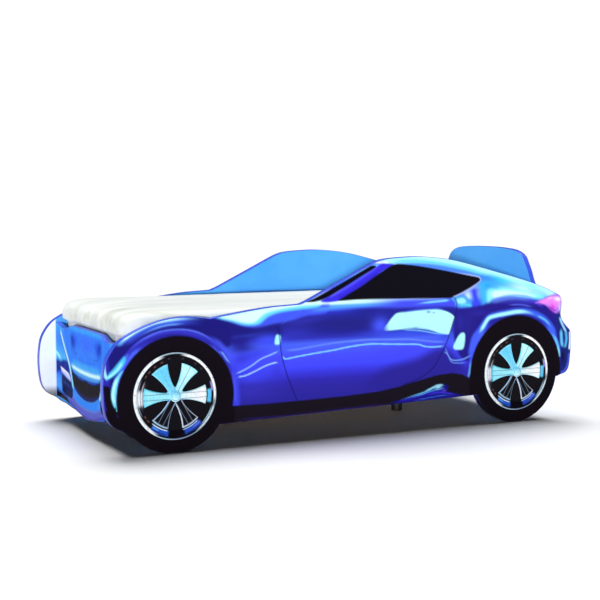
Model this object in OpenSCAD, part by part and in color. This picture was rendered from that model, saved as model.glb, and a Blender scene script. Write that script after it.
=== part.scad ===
// Race-car toddler bed: two car-shaped side panels, a front board, a headboard and a slatted base.
// X runs along the bed with the nose at -X, Z is up, and the floor is Z = 0 under the bed's middle.

/* [Overall size] */
// Length of the bed from nose to tail
bed_length = 1682; // [1400:1:2100]
// Width over the outer faces of the two side panels
bed_width = 760; // [620:1:960]
// Height of the roof line above the floor
roof_height = 570; // [460:1:700]
// Distance between the front and rear wheel centres
wheelbase = 1230; // [1020:1:1490]
// Distance from the nose to the front wheel centre
nose_length = 219; // [180:1:265]

/* [Boards] */
// Thickness of a side panel with its printed film
side_thickness = 25; // [18:0.5:32]
// Thickness of the front board and of the headboard, with film
cross_thickness = 18; // [15:0.5:25]
// Thickness of the printed film on the outer faces
film_thickness = 0.6; // [0.3:0.1:1]
// Thickness of the edge banding
band_thickness = 1.5; // [1:0.1:2.5]
// Distance from the nose to the face of the front board
front_setback = 60; // [45:1:75]
// Distance from the tail to the face of the headboard
head_setback = 99; // [80:1:130]

/* [Silhouette] */
// Radius of the tyres in the silhouette
tyre_radius = 172; // [145:1:195]
// Height of the sill behind the front tyre
sill_front_height = 76; // [60:1:95]
// Height of the sill in front of the rear tyre
sill_rear_height = 103; // [80:1:125]
// Height of the top edge of the front board
front_board_height = 342; // [300:1:370]
// Height of the spoiler hump on the headboard
head_height = 586; // [500:1:700]

/* [Wheel covers] */
// Outer radius of a wheel cover
cover_radius = 131; // [110:1:150]
// Depth of a wheel cover at its rim
cover_depth = 8; // [5:0.5:12]
// Number of spokes
spoke_count = 6; // [5:1:8]
// Radius of the hub
hub_radius = 17; // [14:0.5:24]

/* [Slatted base and mattress] */
// Height of the top of the slats above the floor
slat_top = 302; // [270:1:320]
// Number of slats
slat_count = 13; // [9:1:15]
// Width of a slat
slat_width = 70; // [50:1:80]
// Thickness of a slat
slat_thickness = 18; // [14:0.5:22]
// Width of a side rail
rail_width = 30; // [24:1:40]
// Height of a side rail
rail_height = 40; // [34:1:50]
// Width of the centre beam
beam_width = 40; // [34:1:50]
// Height of the centre beam
beam_height = 60; // [50:1:75]
// Diameter of a centre leg
leg_diameter = 50; // [40:1:60]
// Thickness of the mattress
mattress_thickness = 116; // [90:1:140]
// Thickness of the fitted sheet
sheet_thickness = 2; // [1:0.5:3]
// Clearance between the mattress and the boards on each side
mattress_gap = 3; // [2:0.5:10]

/* [Fittings] */
// Thickness of the glides that the bed stands on
glide_thickness = 3; // [2:0.5:5]
// Diameter of a cam lock
cam_diameter = 15; // [12:0.5:20]
// Depth of a cam lock
cam_depth = 12.5; // [10:0.5:14]
// Distance from the end of a board to the centre of a cam lock
cam_inset = 34; // [24:1:40]
// Diameter of a dowel
dowel_diameter = 8; // [6:1:10]
// Length of a dowel
dowel_length = 30; // [24:1:36]
// Thickness of the steel in a beam hanger
hanger_steel = 2; // [1.5:0.1:3]

/* [Hidden] */
$fn = 64;
small = 0.01;
fit_gap = 0.5;

// The points of the silhouette are drawn for this size and follow the sizes above.
drawn_nose = 219;
drawn_tail = 233;
drawn_roof = 570;
tail_length = bed_length - nose_length - wheelbase;
nose_stretch = nose_length / drawn_nose;
tail_stretch = tail_length / drawn_tail;
height_stretch = roof_height / drawn_roof;
curve_steps = 5;
arc_steps = 14;

front_axle_x = nose_length - bed_length / 2;
rear_axle_x = front_axle_x + wheelbase;
side_face_y = bed_width / 2;
inner_y = side_face_y - side_thickness;
core_thickness = side_thickness - film_thickness;
cross_core = cross_thickness - film_thickness;
front_face_x = front_setback - bed_length / 2;
front_back_x = front_face_x + cross_thickness;
head_face_x = bed_length / 2 - head_setback;
head_back_x = head_face_x + cross_thickness;
bay_length = head_face_x - front_back_x;
bay_middle_x = (head_face_x + front_back_x) / 2;

// Front board
front_ramp_width = 50;
front_plateau = bed_width * 0.22;
front_dip = 17;
front_end_drop = 5;
front_bottom_end = 82;
front_bottom_centre = 54;
front_bottom_half = 205;

// Headboard
head_bottom = 120;
head_drawn_height = 586;
head_shoulder_height = 425;
head_rise = (head_height - head_shoulder_height) / (head_drawn_height - head_shoulder_height);
head_spread = inner_y / 355;

// Rails, beam and legs
slat_bottom = slat_top - slat_thickness;
slat_clearance = 3;
slat_pitch = (bay_length - slat_width - 2 * fit_gap) / (slat_count - 1);
slat_edge = 3;
rail_end_gap = 3;
rail_screw_count = 5;
beam_bottom = slat_bottom - beam_height;
hanger_cheek = 45;
hanger_ear = 22;
leg_bolt_diameter = 8;
leg_bolt_up = 35;
leg_bolt_down = 30;
leg_offset = bay_length / 4;
leg_foot_diameter = leg_diameter * 0.8;

// Mattress
mattress_x = bay_length / 2 - mattress_gap - sheet_thickness;
mattress_y = inner_y - mattress_gap - sheet_thickness;
mattress_corner = 45;
sheet_tuck = 10;
sheet_rest = slat_top + fit_gap;

// Screws: diameter, length and head diameter
slat_screw = [3.5, 35, 7];
rail_screw = [4, 42, 8];
hanger_screw = [3.5, 15, 7];
wheel_screw = [4, 18, 8];

// Joints between the boards: heights of the cams and of the dowels
front_cams = [130, 212, 310];
front_dowels = [170, 226];
head_cams = [150, 225, 330, 400];
head_dowels = [186, 365];
cam_bolt_diameter = 6;
cam_bolt_thread = 5;
cam_bolt_grip = 11;
cam_slot_diameter = 8;
cam_cross = [1.5, 8, 3];
cam_face_gap = 0.2;

// Glides
glide_width = side_thickness - 4;
glide_pin_diameter = 4;
glide_pin_length = 12;

// Wheel covers
cover_lip = 11;
spoke_start = hub_radius * 0.8;
spoke_root = spoke_start * tan(180 / spoke_count) - fit_gap;
spoke_tip = 25;
spoke_waist = 11;
spoke_height = cover_depth * 0.72;
rim_bevel = 2.5;
rim_inner = cover_depth * 0.82;
rim_profile = [
    [0, 0], [cover_lip, 0], [cover_lip, cover_depth - rim_bevel], [cover_lip - rim_bevel, cover_depth],
    [rim_bevel, cover_depth], [0, rim_inner]
];
spoke_groove = [2.2, 1.5];
groove_spacing = 6;
nut_count = 5;
nut_circle = hub_radius * 0.72;
nut_radius = 2.4;
nut_height = 1.5;
cap_radius = hub_radius * 0.52;
cap_height = 3;
cap_dome = 1.5;
hub_height = cover_depth + 1;
screw_well = 4;

// Name, position along the bed and side of each wheel
WHEELS = [
    ["front_left", front_axle_x, -1],
    ["rear_left", rear_axle_x, -1],
    ["front_right", front_axle_x, 1],
    ["rear_right", rear_axle_x, 1]
];

// ---- curves ----

// Point at t of the span from b to c of a smooth curve through a, b, c and d
function span_point(a, b, c, d, t) =
    (2 * b + (c - a) * t + (2 * a - 5 * b + 4 * c - d) * t * t + (3 * b - a - 3 * c + d) * t * t * t) / 2;

// Smooth open curve through the points p, with its last point left out when open_end is true
function smooth(p, open_end = false) = concat(
    [for (i = [0:len(p) - 2], k = [0:curve_steps - 1])
        span_point(p[max(i - 1, 0)], p[i], p[i + 1], p[min(i + 2, len(p) - 1)], k / curve_steps)],
    open_end ? [] : [p[len(p) - 1]]
);

function backwards(p) = [for (i = [len(p) - 1:-1:0]) p[i]];
function mirrored(p) = [for (q = p) [-q[0], q[1]]];
function unit(v) = v / norm(v);
function left_of(v) = [-v[1], v[0]];

// Anticlockwise closed outline p moved inwards by d
function inset(p, d) = [
    for (i = [0:len(p) - 1])
        let (
            u = unit(p[i] - p[(i + len(p) - 1) % len(p)]),
            v = unit(p[(i + 1) % len(p)] - p[i]),
            n = left_of(unit(u + v))
        )
        p[i] + n * d / max(0.5, n * left_of(u))
];

// Rectangle x by y about the origin with corners of radius r
function round_rect(x, y, r) = [
    for (c = [0:3], k = [0:arc_steps / 2])
        let (a = 90 * c + 180 * k / arc_steps, sx = (c == 0 || c == 3) ? 1 : -1, sy = c < 2 ? 1 : -1)
        [sx * (x / 2 - r) + r * cos(a), sy * (y / 2 - r) + r * sin(a)]
];

// ---- the car silhouette ----

// Half the width of the tyre circle at height z
function tyre_half(z) = sqrt(tyre_radius * tyre_radius - (tyre_radius - z) * (tyre_radius - z));

// Points of the silhouette: in front of the front axle, between the axles and behind the rear axle
function ahead(x, z) = [front_axle_x - x * nose_stretch, z * height_stretch];
function between(f, z) = [front_axle_x + f * wheelbase, z * height_stretch];
function behind(x, z) = [rear_axle_x + x * tail_stretch, z * height_stretch];

// Arc of a tyre from height z0 on its front to the floor, or from the floor to height z1 behind
function tyre_front(axle_x, z0) =
    let (a0 = 180 + asin((tyre_radius - z0) / tyre_radius),
         a1 = 180 + asin((tyre_radius - glide_thickness) / tyre_radius))
    [for (k = [0:arc_steps]) let (a = a0 + (a1 - a0) * k / arc_steps)
        [axle_x + tyre_radius * cos(a), tyre_radius + tyre_radius * sin(a)]];
function tyre_back(axle_x, z1) = backwards(
    [for (q = tyre_front(axle_x, z1)) [2 * axle_x - q[0], q[1]]]);

bumper_bottom = 50 * height_stretch;
bumper_rear_bottom = 146 * height_stretch;

nose_line = [
    ahead(142, 61), ahead(156, 74), ahead(170, 82), ahead(185, 90), ahead(198, 102), ahead(208, 119),
    ahead(215, 145), ahead(219, 187), ahead(218, 235),
    ahead(208, 287), ahead(178, 333), ahead(136, 361), ahead(75, 387), ahead(13, 402),
    between(0.041, 405), between(0.093, 397)
];
bonnet_line = [
    between(0.093, 397), between(0.172, 412), between(0.252, 424), between(0.310, 428),
    between(0.338, 430)
];
roof_line = [
    between(0.338, 430), between(0.351, 436), between(0.366, 444), between(0.450, 494), between(0.530, 542),
    between(0.561, 558), between(0.590, 565), between(0.640, 569), between(0.688, 570),
    between(0.750, 564), between(0.814, 551), between(0.911, 521), behind(13, 489), behind(97, 463),
    behind(165, 435), behind(184, 423), behind(190, 410)
];
tail_line = [
    behind(190, 410), behind(190, 390), behind(187, 362), behind(194, 341), behind(211, 321),
    behind(228, 304), behind(233, 283), behind(233, 245), behind(228, 190), behind(221, 168),
    behind(208, 156), behind(189, 151), behind(176, 146)
];

side_outline = concat(
    tyre_front(front_axle_x, bumper_bottom),
    tyre_back(front_axle_x, sill_front_height),
    tyre_front(rear_axle_x, sill_rear_height),
    tyre_back(rear_axle_x, bumper_rear_bottom),
    smooth(backwards(tail_line), true),
    smooth(backwards(roof_line), true),
    smooth(backwards(bonnet_line), true),
    smooth(backwards(nose_line))
);
core_outline = inset(side_outline, band_thickness);

// ---- cross board outlines, in Y and Z ----

front_top_half = [
    [0, front_board_height], [front_plateau - 40, front_board_height], [front_plateau, front_board_height - 2],
    [front_plateau + front_ramp_width / 2, front_board_height - front_dip / 2],
    [front_plateau + front_ramp_width, front_board_height - front_dip + 1],
    [front_plateau + 2 * front_ramp_width, front_board_height - front_dip],
    [inner_y, front_board_height - front_end_drop]
];
front_bottom_curve = [
    [0, front_bottom_centre], [front_bottom_half / 2, front_bottom_centre + 10],
    [front_bottom_half, front_bottom_end - 5], [front_bottom_half + 60, front_bottom_end],
    [inner_y, front_bottom_end]
];
function whole(half) = concat(mirrored(backwards(half)), [for (i = [1:len(half) - 1]) half[i]]);
front_top = whole(smooth(front_top_half));
front_bottom = whole(smooth(front_bottom_curve));

function head_point(y, z) = [y * head_spread, head_shoulder_height + (z - head_shoulder_height) * head_rise];
head_top_half = [
    head_point(0, 586), head_point(80, 585), head_point(159, 580), head_point(201, 571),
    head_point(229, 556), head_point(245, 534), head_point(261, 508), head_point(277, 475),
    head_point(297, 446), head_point(325, 430), head_point(355, 425)
];
head_top = whole(smooth(head_top_half));

// The same curve moved down by d, across its own direction
function lowered(p, d) = [for (q = p) [q[0], q[1] - d]];

// ---- placing ----

// Stands a drawing in X and Z up, from y to y + t
module upright_xz(y, t) {
    translate([0, y + t, 0]) rotate([90, 0, 0]) linear_extrude(t) children();
}

// Stands a drawing in Y and Z up, from x to x + t
module upright_yz(x, t) {
    translate([x, 0, 0]) rotate([90, 0, 90]) linear_extrude(t) children();
}

// Puts the left side's parts on the right side as well when side is 1
module on_side(side) {
    if (side < 0) children();
    else mirror([0, 1, 0]) children();
}

// Countersunk screw along -Z with its head's face at the origin
module screw(s) {
    taper = (s[2] - s[0]) / 2;
    translate([0, 0, -s[1]]) cylinder(d = s[0], h = s[1] - taper + small);
    translate([0, 0, -taper]) cylinder(d1 = s[0], d2 = s[2], h = taper);
}

// ---- fastener places ----

module at_slat_screws(side) {
    for (i = [1:slat_count]) translate([slat_x(i), side * (inner_y - rail_width / 2), slat_top]) children();
}

module at_rail_screws(side) {
    for (i = [1:rail_screw_count])
        translate([rail_screw_x(i), side * (inner_y - rail_width), slat_bottom - rail_height / 2])
            rotate([side * 90, 0, 0]) children();
}

function slat_x(i) = front_back_x + fit_gap + slat_width / 2 + (i - 1) * slat_pitch;
function rail_screw_x(i) = (slat_x(slat_column(i)) + slat_x(slat_column(i) + 1)) / 2;
function slat_column(i) = floor(1 + (i - 0.5) * (slat_count - 1) / rail_screw_count);

// Cams of one cross board, seen from the bed: the board's middle plane, inner face and its direction
module cam_bolt_shape(side) {
    translate([0, side * (inner_y - cam_inset + 2), 0]) rotate([side * -90, 0, 0]) {
        cylinder(d = cam_bolt_diameter, h = cam_inset - 2);
        translate([0, 0, cam_inset - 2 - small]) cylinder(d = cam_bolt_thread, h = cam_bolt_grip + small);
    }
}

module at_front_cams() {
    for (z = front_cams) translate([front_face_x + cross_thickness / 2, 0, z]) children();
}

module at_head_cams() {
    for (z = head_cams) translate([head_face_x + cross_thickness / 2, 0, z]) children();
}

module cam_bolt_set() {
    for (side = [-1, 1]) {
        at_front_cams() cam_bolt_shape(side);
        at_head_cams() cam_bolt_shape(side);
    }
}

// Space that the bolts need in the end of a cross board
module cam_bolt_bores() {
    for (side = [-1, 1]) {
        at_front_cams() cam_bolt_bore(side);
        at_head_cams() cam_bolt_bore(side);
    }
}

module cam_bolt_bore(side) {
    translate([0, side * (inner_y - cam_inset), 0]) rotate([side * -90, 0, 0])
        cylinder(d = cam_slot_diameter, h = cam_inset);
}

// Cams: drilled into the front board from behind and into the headboard from its face
module at_cams() {
    for (side = [-1, 1]) {
        for (z = front_cams)
            translate([front_back_x, side * (inner_y - cam_inset), z]) rotate([0, -90, 0]) children();
        for (z = head_cams)
            translate([head_face_x, side * (inner_y - cam_inset), z]) rotate([0, 90, 0]) children();
    }
}

module dowel_set() {
    for (side = [-1, 1]) {
        for (z = front_dowels) dowel_at(front_face_x + cross_thickness / 2, side, z);
        for (z = head_dowels) dowel_at(head_face_x + cross_thickness / 2, side, z);
    }
}

module dowel_at(x, side, z) {
    translate([x, side * (inner_y - dowel_length / 2), z]) rotate([side * -90, 0, 0])
        cylinder(d = dowel_diameter, h = dowel_length);
}

// Pins of the glides under the tyres
module at_tyre_glides() {
    for (w = WHEELS) translate([w[1], w[2] * (side_face_y - side_thickness / 2), 0]) children();
}

module tyre_glide_shape() {
    linear_extrude(glide_thickness) polygon(round_rect(2 * tyre_half(glide_thickness) - 4, glide_width, 4));
    cylinder(d = glide_pin_diameter, h = glide_thickness + glide_pin_length);
}

// Everything that is drilled into the side panels
module side_panel_bores() {
    cam_bolt_set();
    dowel_set();
    for (side = [-1, 1]) at_rail_screws(side) screw(rail_screw);
    at_tyre_glides() tyre_glide_shape();
    wheel_screw_set();
}

module at_wheel(w) {
    translate([w[1], w[2] * side_face_y, tyre_radius]) rotate([w[2] * -90, 0, 0]) children();
}

module wheel_screw_set() {
    for (w = WHEELS) at_wheel(w) translate([0, 0, hub_height - screw_well]) screw(wheel_screw);
}

// ---- boards ----

module side_panel(side) {
    color("lightskyblue") difference() {
        on_side(side) upright_xz(film_thickness - side_face_y, core_thickness) polygon(core_outline);
        side_panel_bores();
    }
}

module side_film(side) {
    color("mediumblue") difference() {
        on_side(side) upright_xz(-side_face_y, film_thickness) polygon(core_outline);
        wheel_screw_set();
    }
}

module edge_band(side) {
    color("slateblue") difference() {
        on_side(side) upright_xz(-side_face_y, side_thickness) difference() {
            polygon(side_outline);
            polygon(core_outline);
        }
        at_tyre_glides() tyre_glide_shape();
    }
}

module front_board() {
    color("lightskyblue") difference() {
        upright_yz(front_face_x + film_thickness, cross_core)
            polygon(concat(lowered(front_bottom, -band_thickness), backwards(lowered(front_top, band_thickness))));
        cam_bolt_bores();
        dowel_set();
        at_cams() translate([0, 0, -small]) cylinder(d = cam_diameter, h = cam_depth + small);
        at_hanger_screws() screw(hanger_screw);
    }
}

module front_film() {
    color("dodgerblue") upright_yz(front_face_x, film_thickness)
        polygon(concat(lowered(front_bottom, -band_thickness), backwards(lowered(front_top, band_thickness))));
}

module front_edge_bands() {
    color("slateblue") upright_yz(front_face_x, cross_thickness) {
        polygon(concat(lowered(front_top, band_thickness), backwards(front_top)));
        polygon(concat(front_bottom, backwards(lowered(front_bottom, -band_thickness))));
    }
}

module headboard() {
    color("lightskyblue") difference() {
        upright_yz(head_face_x, cross_thickness)
            polygon(concat([[-inner_y, head_bottom], [inner_y, head_bottom]], backwards(lowered(head_top, band_thickness))));
        cam_bolt_bores();
        dowel_set();
        at_cams() translate([0, 0, -small]) cylinder(d = cam_diameter, h = cam_depth + small);
        at_hanger_screws() screw(hanger_screw);
    }
}

module headboard_edge_band() {
    color("slateblue") upright_yz(head_face_x, cross_thickness)
        polygon(concat(lowered(head_top, band_thickness), backwards(head_top)));
}

// ---- slatted base ----

module rail(side) {
    color("burlywood") difference() {
        translate([front_back_x + rail_end_gap, side < 0 ? -inner_y : inner_y - rail_width, slat_bottom - rail_height])
            cube([bay_length - 2 * rail_end_gap, rail_width, rail_height]);
        at_slat_screws(side) screw(slat_screw);
        at_rail_screws(side) screw(rail_screw);
    }
}

module slat(i) {
    half = inner_y - slat_clearance;
    color("wheat") difference() {
        translate([slat_x(i), 0, slat_bottom]) rotate([90, 0, 0]) translate([0, 0, -half])
            linear_extrude(2 * half) translate([0, slat_thickness / 2])
                polygon(round_rect(slat_width, slat_thickness, slat_edge));
        for (side = [-1, 1]) at_slat_screws(side) screw(slat_screw);
    }
}

module centre_beam() {
    color("burlywood") difference() {
        translate([front_back_x + hanger_steel + fit_gap, -beam_width / 2, beam_bottom])
            cube([bay_length - 2 * (hanger_steel + fit_gap), beam_width, beam_height]);
        leg_bolt_set();
    }
}

// A beam hanger at the front board, with its back plate on the board's inner face
module hanger_shape() {
    half = beam_width / 2 + fit_gap;
    low = beam_bottom - hanger_steel;
    translate([0, -half - hanger_ear, low]) cube([hanger_steel, 2 * (half + hanger_ear), beam_height]);
    translate([0, -half - hanger_steel, low]) cube([hanger_cheek, 2 * (half + hanger_steel), hanger_steel]);
    for (y = [-half - hanger_steel, half])
        translate([0, y, low]) cube([hanger_cheek, hanger_steel, beam_height * 0.7]);
}

module at_hangers() {
    translate([front_back_x, 0, 0]) children();
    translate([head_face_x, 0, 0]) mirror([1, 0, 0]) children();
}

module at_hanger_screws() {
    y = beam_width / 2 + fit_gap + hanger_ear / 2 + hanger_steel / 2;
    for (z = [beam_bottom + 12, beam_bottom + beam_height - 16], side = [-1, 1])
        at_hangers() translate([hanger_steel, side * y, z]) rotate([0, 90, 0]) children();
}

module front_beam_hanger() {
    color("silver") difference() {
        translate([front_back_x, 0, 0]) hanger_shape();
        at_hanger_screws() screw(hanger_screw);
    }
}

module rear_beam_hanger() {
    color("silver") difference() {
        translate([head_face_x, 0, 0]) mirror([1, 0, 0]) hanger_shape();
        at_hanger_screws() screw(hanger_screw);
    }
}

module at_legs() {
    for (side = [-1, 1]) translate([bay_middle_x + side * leg_offset, 0, 0]) children();
}

module centre_legs() {
    color("dimgray") difference() {
        at_legs() translate([0, 0, glide_thickness])
            cylinder(d1 = leg_foot_diameter, d2 = leg_diameter, h = beam_bottom - glide_thickness);
        leg_bolt_set();
    }
}

module leg_bolt_set() {
    at_legs() translate([0, 0, beam_bottom - leg_bolt_down])
        cylinder(d = leg_bolt_diameter, h = leg_bolt_down + leg_bolt_up);
}

module leg_bolts() {
    color("silver") leg_bolt_set();
}

module leg_glides() {
    color("black") at_legs() cylinder(d = leg_foot_diameter - 4, h = glide_thickness);
}

module tyre_glides() {
    color("black") at_tyre_glides() tyre_glide_shape();
}

// ---- fasteners ----

module cam_locks() {
    color("silver") difference() {
        at_cams() translate([0, 0, cam_face_gap]) cylinder(d = cam_diameter, h = cam_depth - cam_face_gap);
        cam_bolt_bores();
        at_cams() for (a = [0, 90]) rotate(a) cube([cam_cross[1], cam_cross[0], cam_cross[2]], center = true);
    }
}

module cam_bolts() {
    color("silver") cam_bolt_set();
}

module dowels() {
    color("wheat") dowel_set();
}

module rail_screws() {
    color("goldenrod") for (side = [-1, 1]) at_rail_screws(side) screw(rail_screw);
}

module slat_screws() {
    color("goldenrod") for (side = [-1, 1]) at_slat_screws(side) screw(slat_screw);
}

module hanger_screws() {
    color("goldenrod") at_hanger_screws() screw(hanger_screw);
}

module wheel_cover_screws() {
    color("silver") wheel_screw_set();
}

// ---- wheel covers ----

// Flared spoke from the hub to the rim, drawn along +X
module spoke() {
    reach = cover_radius - cover_lip / 2;
    edge = smooth([
        [spoke_start, spoke_root], [reach * 0.4, spoke_waist], [reach * 0.7, spoke_tip * 0.72], [reach, spoke_tip]
    ]);
    groove_start = hub_radius + 6;
    groove_length = reach - groove_start - cover_lip;
    difference() {
        linear_extrude(spoke_height)
            polygon(concat(backwards(edge), [for (q = edge) [q[0], -q[1]]]));
        for (y = [-groove_spacing, groove_spacing])
            translate([groove_start, y - spoke_groove[0] / 2, spoke_height - spoke_groove[1]])
                cube([groove_length, spoke_groove[0], spoke_height]);
    }
}

module wheel_cover(w) {
    color("silver") at_wheel(w) difference() {
        union() {
            rotate_extrude() translate([cover_radius - cover_lip, 0]) polygon(rim_profile);
            for (i = [0:spoke_count - 1]) rotate(360 * i / spoke_count) spoke();
            cylinder(r = hub_radius, h = hub_height);
            for (i = [0:nut_count - 1]) rotate(360 * (i + 0.5) / nut_count)
                translate([nut_circle, 0, 0]) cylinder(r = nut_radius, h = hub_height + nut_height, $fn = 6);
        }
        translate([0, 0, hub_height - screw_well]) cylinder(r = cap_radius, h = screw_well + small);
        translate([0, 0, hub_height - screw_well]) screw(wheel_screw);
    }
}

module hub_cap(w) {
    color("lightgray") at_wheel(w) translate([0, 0, hub_height - screw_well]) {
        cylinder(r = cap_radius - 0.1, h = screw_well + cap_height - cap_dome);
        translate([0, 0, screw_well + cap_height - cap_dome])
            cylinder(r1 = cap_radius - 0.1, r2 = cap_radius - cap_dome, h = cap_dome);
    }
}

// ---- mattress ----

module mattress() {
    color("white") translate([bay_middle_x, 0, sheet_rest])
        linear_extrude(mattress_thickness) polygon(round_rect(2 * mattress_x, 2 * mattress_y, mattress_corner));
}

module fitted_sheet() {
    outer_x = 2 * (mattress_x + sheet_thickness);
    outer_y = 2 * (mattress_y + sheet_thickness);
    color("whitesmoke") difference() {
        translate([bay_middle_x, 0, sheet_rest + sheet_tuck])
            linear_extrude(mattress_thickness - sheet_tuck + sheet_thickness)
                polygon(round_rect(outer_x, outer_y, mattress_corner + sheet_thickness));
        mattress();
    }
}

// ---- the bed ----

side_panel(-1);  // left_side_panel
side_panel(1);  // right_side_panel
side_film(-1);  // left_side_film
side_film(1);  // right_side_film
edge_band(-1);  // left_edge_band
edge_band(1);  // right_edge_band
front_board();
front_film();
front_edge_bands();
headboard();
headboard_edge_band();
rail(-1);  // left_rail
rail(1);  // right_rail
centre_beam();
front_beam_hanger();
rear_beam_hanger();
centre_legs();
leg_bolts();
leg_glides();
tyre_glides();
cam_locks();
cam_bolts();
dowels();
rail_screws();
slat_screws();
hanger_screws();
wheel_cover_screws();
mattress();
fitted_sheet();
for (w = WHEELS) wheel_cover(w);
for (w = WHEELS) hub_cap(w);
for (i = [1:slat_count]) slat(i);
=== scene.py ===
"""The looks of a car-shaped toddler bed: boards, prints, wheel covers, slats, fittings, mattress, sheet."""

import math

import bmesh
import bpy
import numpy as np
from mathutils import Matrix, Vector, noise


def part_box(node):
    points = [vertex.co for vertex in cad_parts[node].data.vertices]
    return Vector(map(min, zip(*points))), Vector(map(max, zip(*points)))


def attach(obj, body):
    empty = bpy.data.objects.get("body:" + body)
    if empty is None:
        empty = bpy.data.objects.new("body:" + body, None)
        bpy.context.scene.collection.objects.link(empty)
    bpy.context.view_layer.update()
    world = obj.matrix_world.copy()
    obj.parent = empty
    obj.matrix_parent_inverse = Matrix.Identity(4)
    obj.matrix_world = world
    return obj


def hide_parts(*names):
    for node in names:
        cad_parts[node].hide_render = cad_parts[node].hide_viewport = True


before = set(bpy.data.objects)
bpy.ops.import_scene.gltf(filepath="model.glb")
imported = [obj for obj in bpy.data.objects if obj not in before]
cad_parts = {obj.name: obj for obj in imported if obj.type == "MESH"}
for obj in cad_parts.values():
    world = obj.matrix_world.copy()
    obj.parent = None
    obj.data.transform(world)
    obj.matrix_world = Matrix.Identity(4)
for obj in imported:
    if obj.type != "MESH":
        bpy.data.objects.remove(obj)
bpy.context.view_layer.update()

MM = 0.001
WELD = 0.02 * MM
SHARP = math.radians(35)
FLAT_AREA = 0.004
FILM_CELL = 3.0 * MM
FRONT_CELL = 2.0 * MM
DRAWN_WHEELBASE = 1213.0
DRAWN_WIDTH = 745.0
CURVE_STEPS = 6
THREAD = 0.5 * MM
NOSE_SHADE_FOOT, NOSE_SHADE_TOP = 70 * MM, 120 * MM
BAND_SHADE_TOP = 200 * MM
WHEELS = [f"{end}_{side}" for end in ("front", "rear") for side in ("left", "right")]


def middle(node):
    """The middle of a CAD part's box."""
    low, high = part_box(node)
    return (low + high) / 2


front_axle = middle("front_left_wheel_cover")
rear_axle = middle("rear_left_wheel_cover")
drawn_scale = (rear_axle.x - front_axle.x) / (DRAWN_WHEELBASE * MM)
panel_low, panel_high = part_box("left_side_film")
outer_y = -panel_low.y
front_face_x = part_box("front_film")[0].x


# ---------------------------------------------------------------- colours and materials


def srgb(code):
    """A colour written as six hex digits, as linear red, green and blue."""
    part = np.array([int(code[i : i + 2], 16) for i in (0, 2, 4)]) / 255
    return np.where(part <= 0.04045, part / 12.92, ((part + 0.055) / 1.055) ** 2.4)


def rgba(code):
    """The same, as the four numbers that a socket takes."""
    return (*[float(v) for v in srgb(code)], 1.0)


class Finish:
    """A material being built: its nodes, its shader and short ways to add to them."""

    def __init__(self, name, colour="808080", roughness=0.5, metallic=0.0, specular=0.5, ior=1.45):
        self.material = bpy.data.materials.new(name)
        self.material.use_nodes = True
        self.tree = self.material.node_tree
        self.shader = self.tree.nodes["Principled BSDF"]
        self.set("Base Color", rgba(colour))
        self.set("Roughness", roughness)
        self.set("Metallic", metallic)
        self.set("Specular IOR Level", specular)
        self.set("IOR", ior)

    def set(self, socket, value):
        """Gives the shader one plain value."""
        self.shader.inputs[socket].default_value = value

    def add(self, kind, inputs=(), **settings):
        """A new node; each input is either another node's output or a plain value."""
        node = self.tree.nodes.new(kind)
        for key, value in settings.items():
            setattr(node, key, value)
        for key, value in dict(inputs).items():
            if isinstance(value, bpy.types.NodeSocket):
                self.tree.links.new(value, node.inputs[key])
            else:
                node.inputs[key].default_value = value
        return node

    def link(self, output, socket):
        """Feeds an output to one of the shader's inputs."""
        self.tree.links.new(output, self.shader.inputs[socket])

    def place(self, scale=(1, 1, 1)):
        """Object coordinates, stretched."""
        where = self.add("ShaderNodeTexCoord").outputs["Object"]
        return self.add("ShaderNodeMapping", {"Vector": where, "Scale": scale}).outputs[0]

    def noise(self, size, detail=3.0, where=None, distortion=0.0):
        """Cloudy noise whose spots are about this size in metres."""
        where = self.place() if where is None else where
        inputs = {"Vector": where, "Scale": 1 / size, "Detail": detail, "Distortion": distortion}
        return self.add("ShaderNodeTexNoise", inputs).outputs[0]

    def ramp(self, factor, *stops):
        """A colour ramp; stops are (place, colour)."""
        node = self.add("ShaderNodeValToRGB", {"Fac": factor})
        while len(node.color_ramp.elements) < len(stops):
            node.color_ramp.elements.new(0.5)
        for element, (at, colour) in zip(node.color_ramp.elements, stops):
            element.position = at
            element.color = rgba(colour)
        return node.outputs[0]

    def span(self, value, low, high, new_low=0.0, new_high=1.0):
        """Stretches low..high to new_low..new_high, and stops at both ends."""
        inputs = {0: value, 1: low, 2: high, 3: new_low, 4: new_high}
        return self.add("ShaderNodeMapRange", inputs).outputs[0]

    def mix(self, factor, a, b, blend="MIX"):
        """Two colours mixed."""
        inputs = {0: factor, 6: a, 7: b}
        return self.add("ShaderNodeMix", inputs, data_type="RGBA", blend_type=blend).outputs[2]

    def bump(self, height, distance, strength):
        """Fine relief, up to this distance deep."""
        node = self.add("ShaderNodeBump", {"Height": height, "Distance": distance, "Strength": strength})
        self.link(node.outputs[0], "Normal")

    def rough(self, factor, low, high):
        """Roughness that wanders between two values."""
        self.link(self.span(factor, 0.3, 0.7, low, high), "Roughness")


def printed_film():
    """Gloss film with a picture printed on it; the picture is the colour of the mesh's own points."""
    f = Finish("printed_film", roughness=0.2, ior=1.035)
    picture = f.add("ShaderNodeAttribute", attribute_name="print").outputs["Color"]
    grain = f.noise(0.9 * MM, detail=2)
    tint = f.ramp(grain, (0.3, "f2f2f6"), (0.7, "ffffff"))
    f.link(f.mix(1.0, picture, tint, "MULTIPLY"), "Base Color")
    f.rough(f.noise(35 * MM), 0.2, 0.3)
    f.bump(f.noise(4 * MM, detail=1), 0.01 * MM, 0.25)
    return f.material


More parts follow.
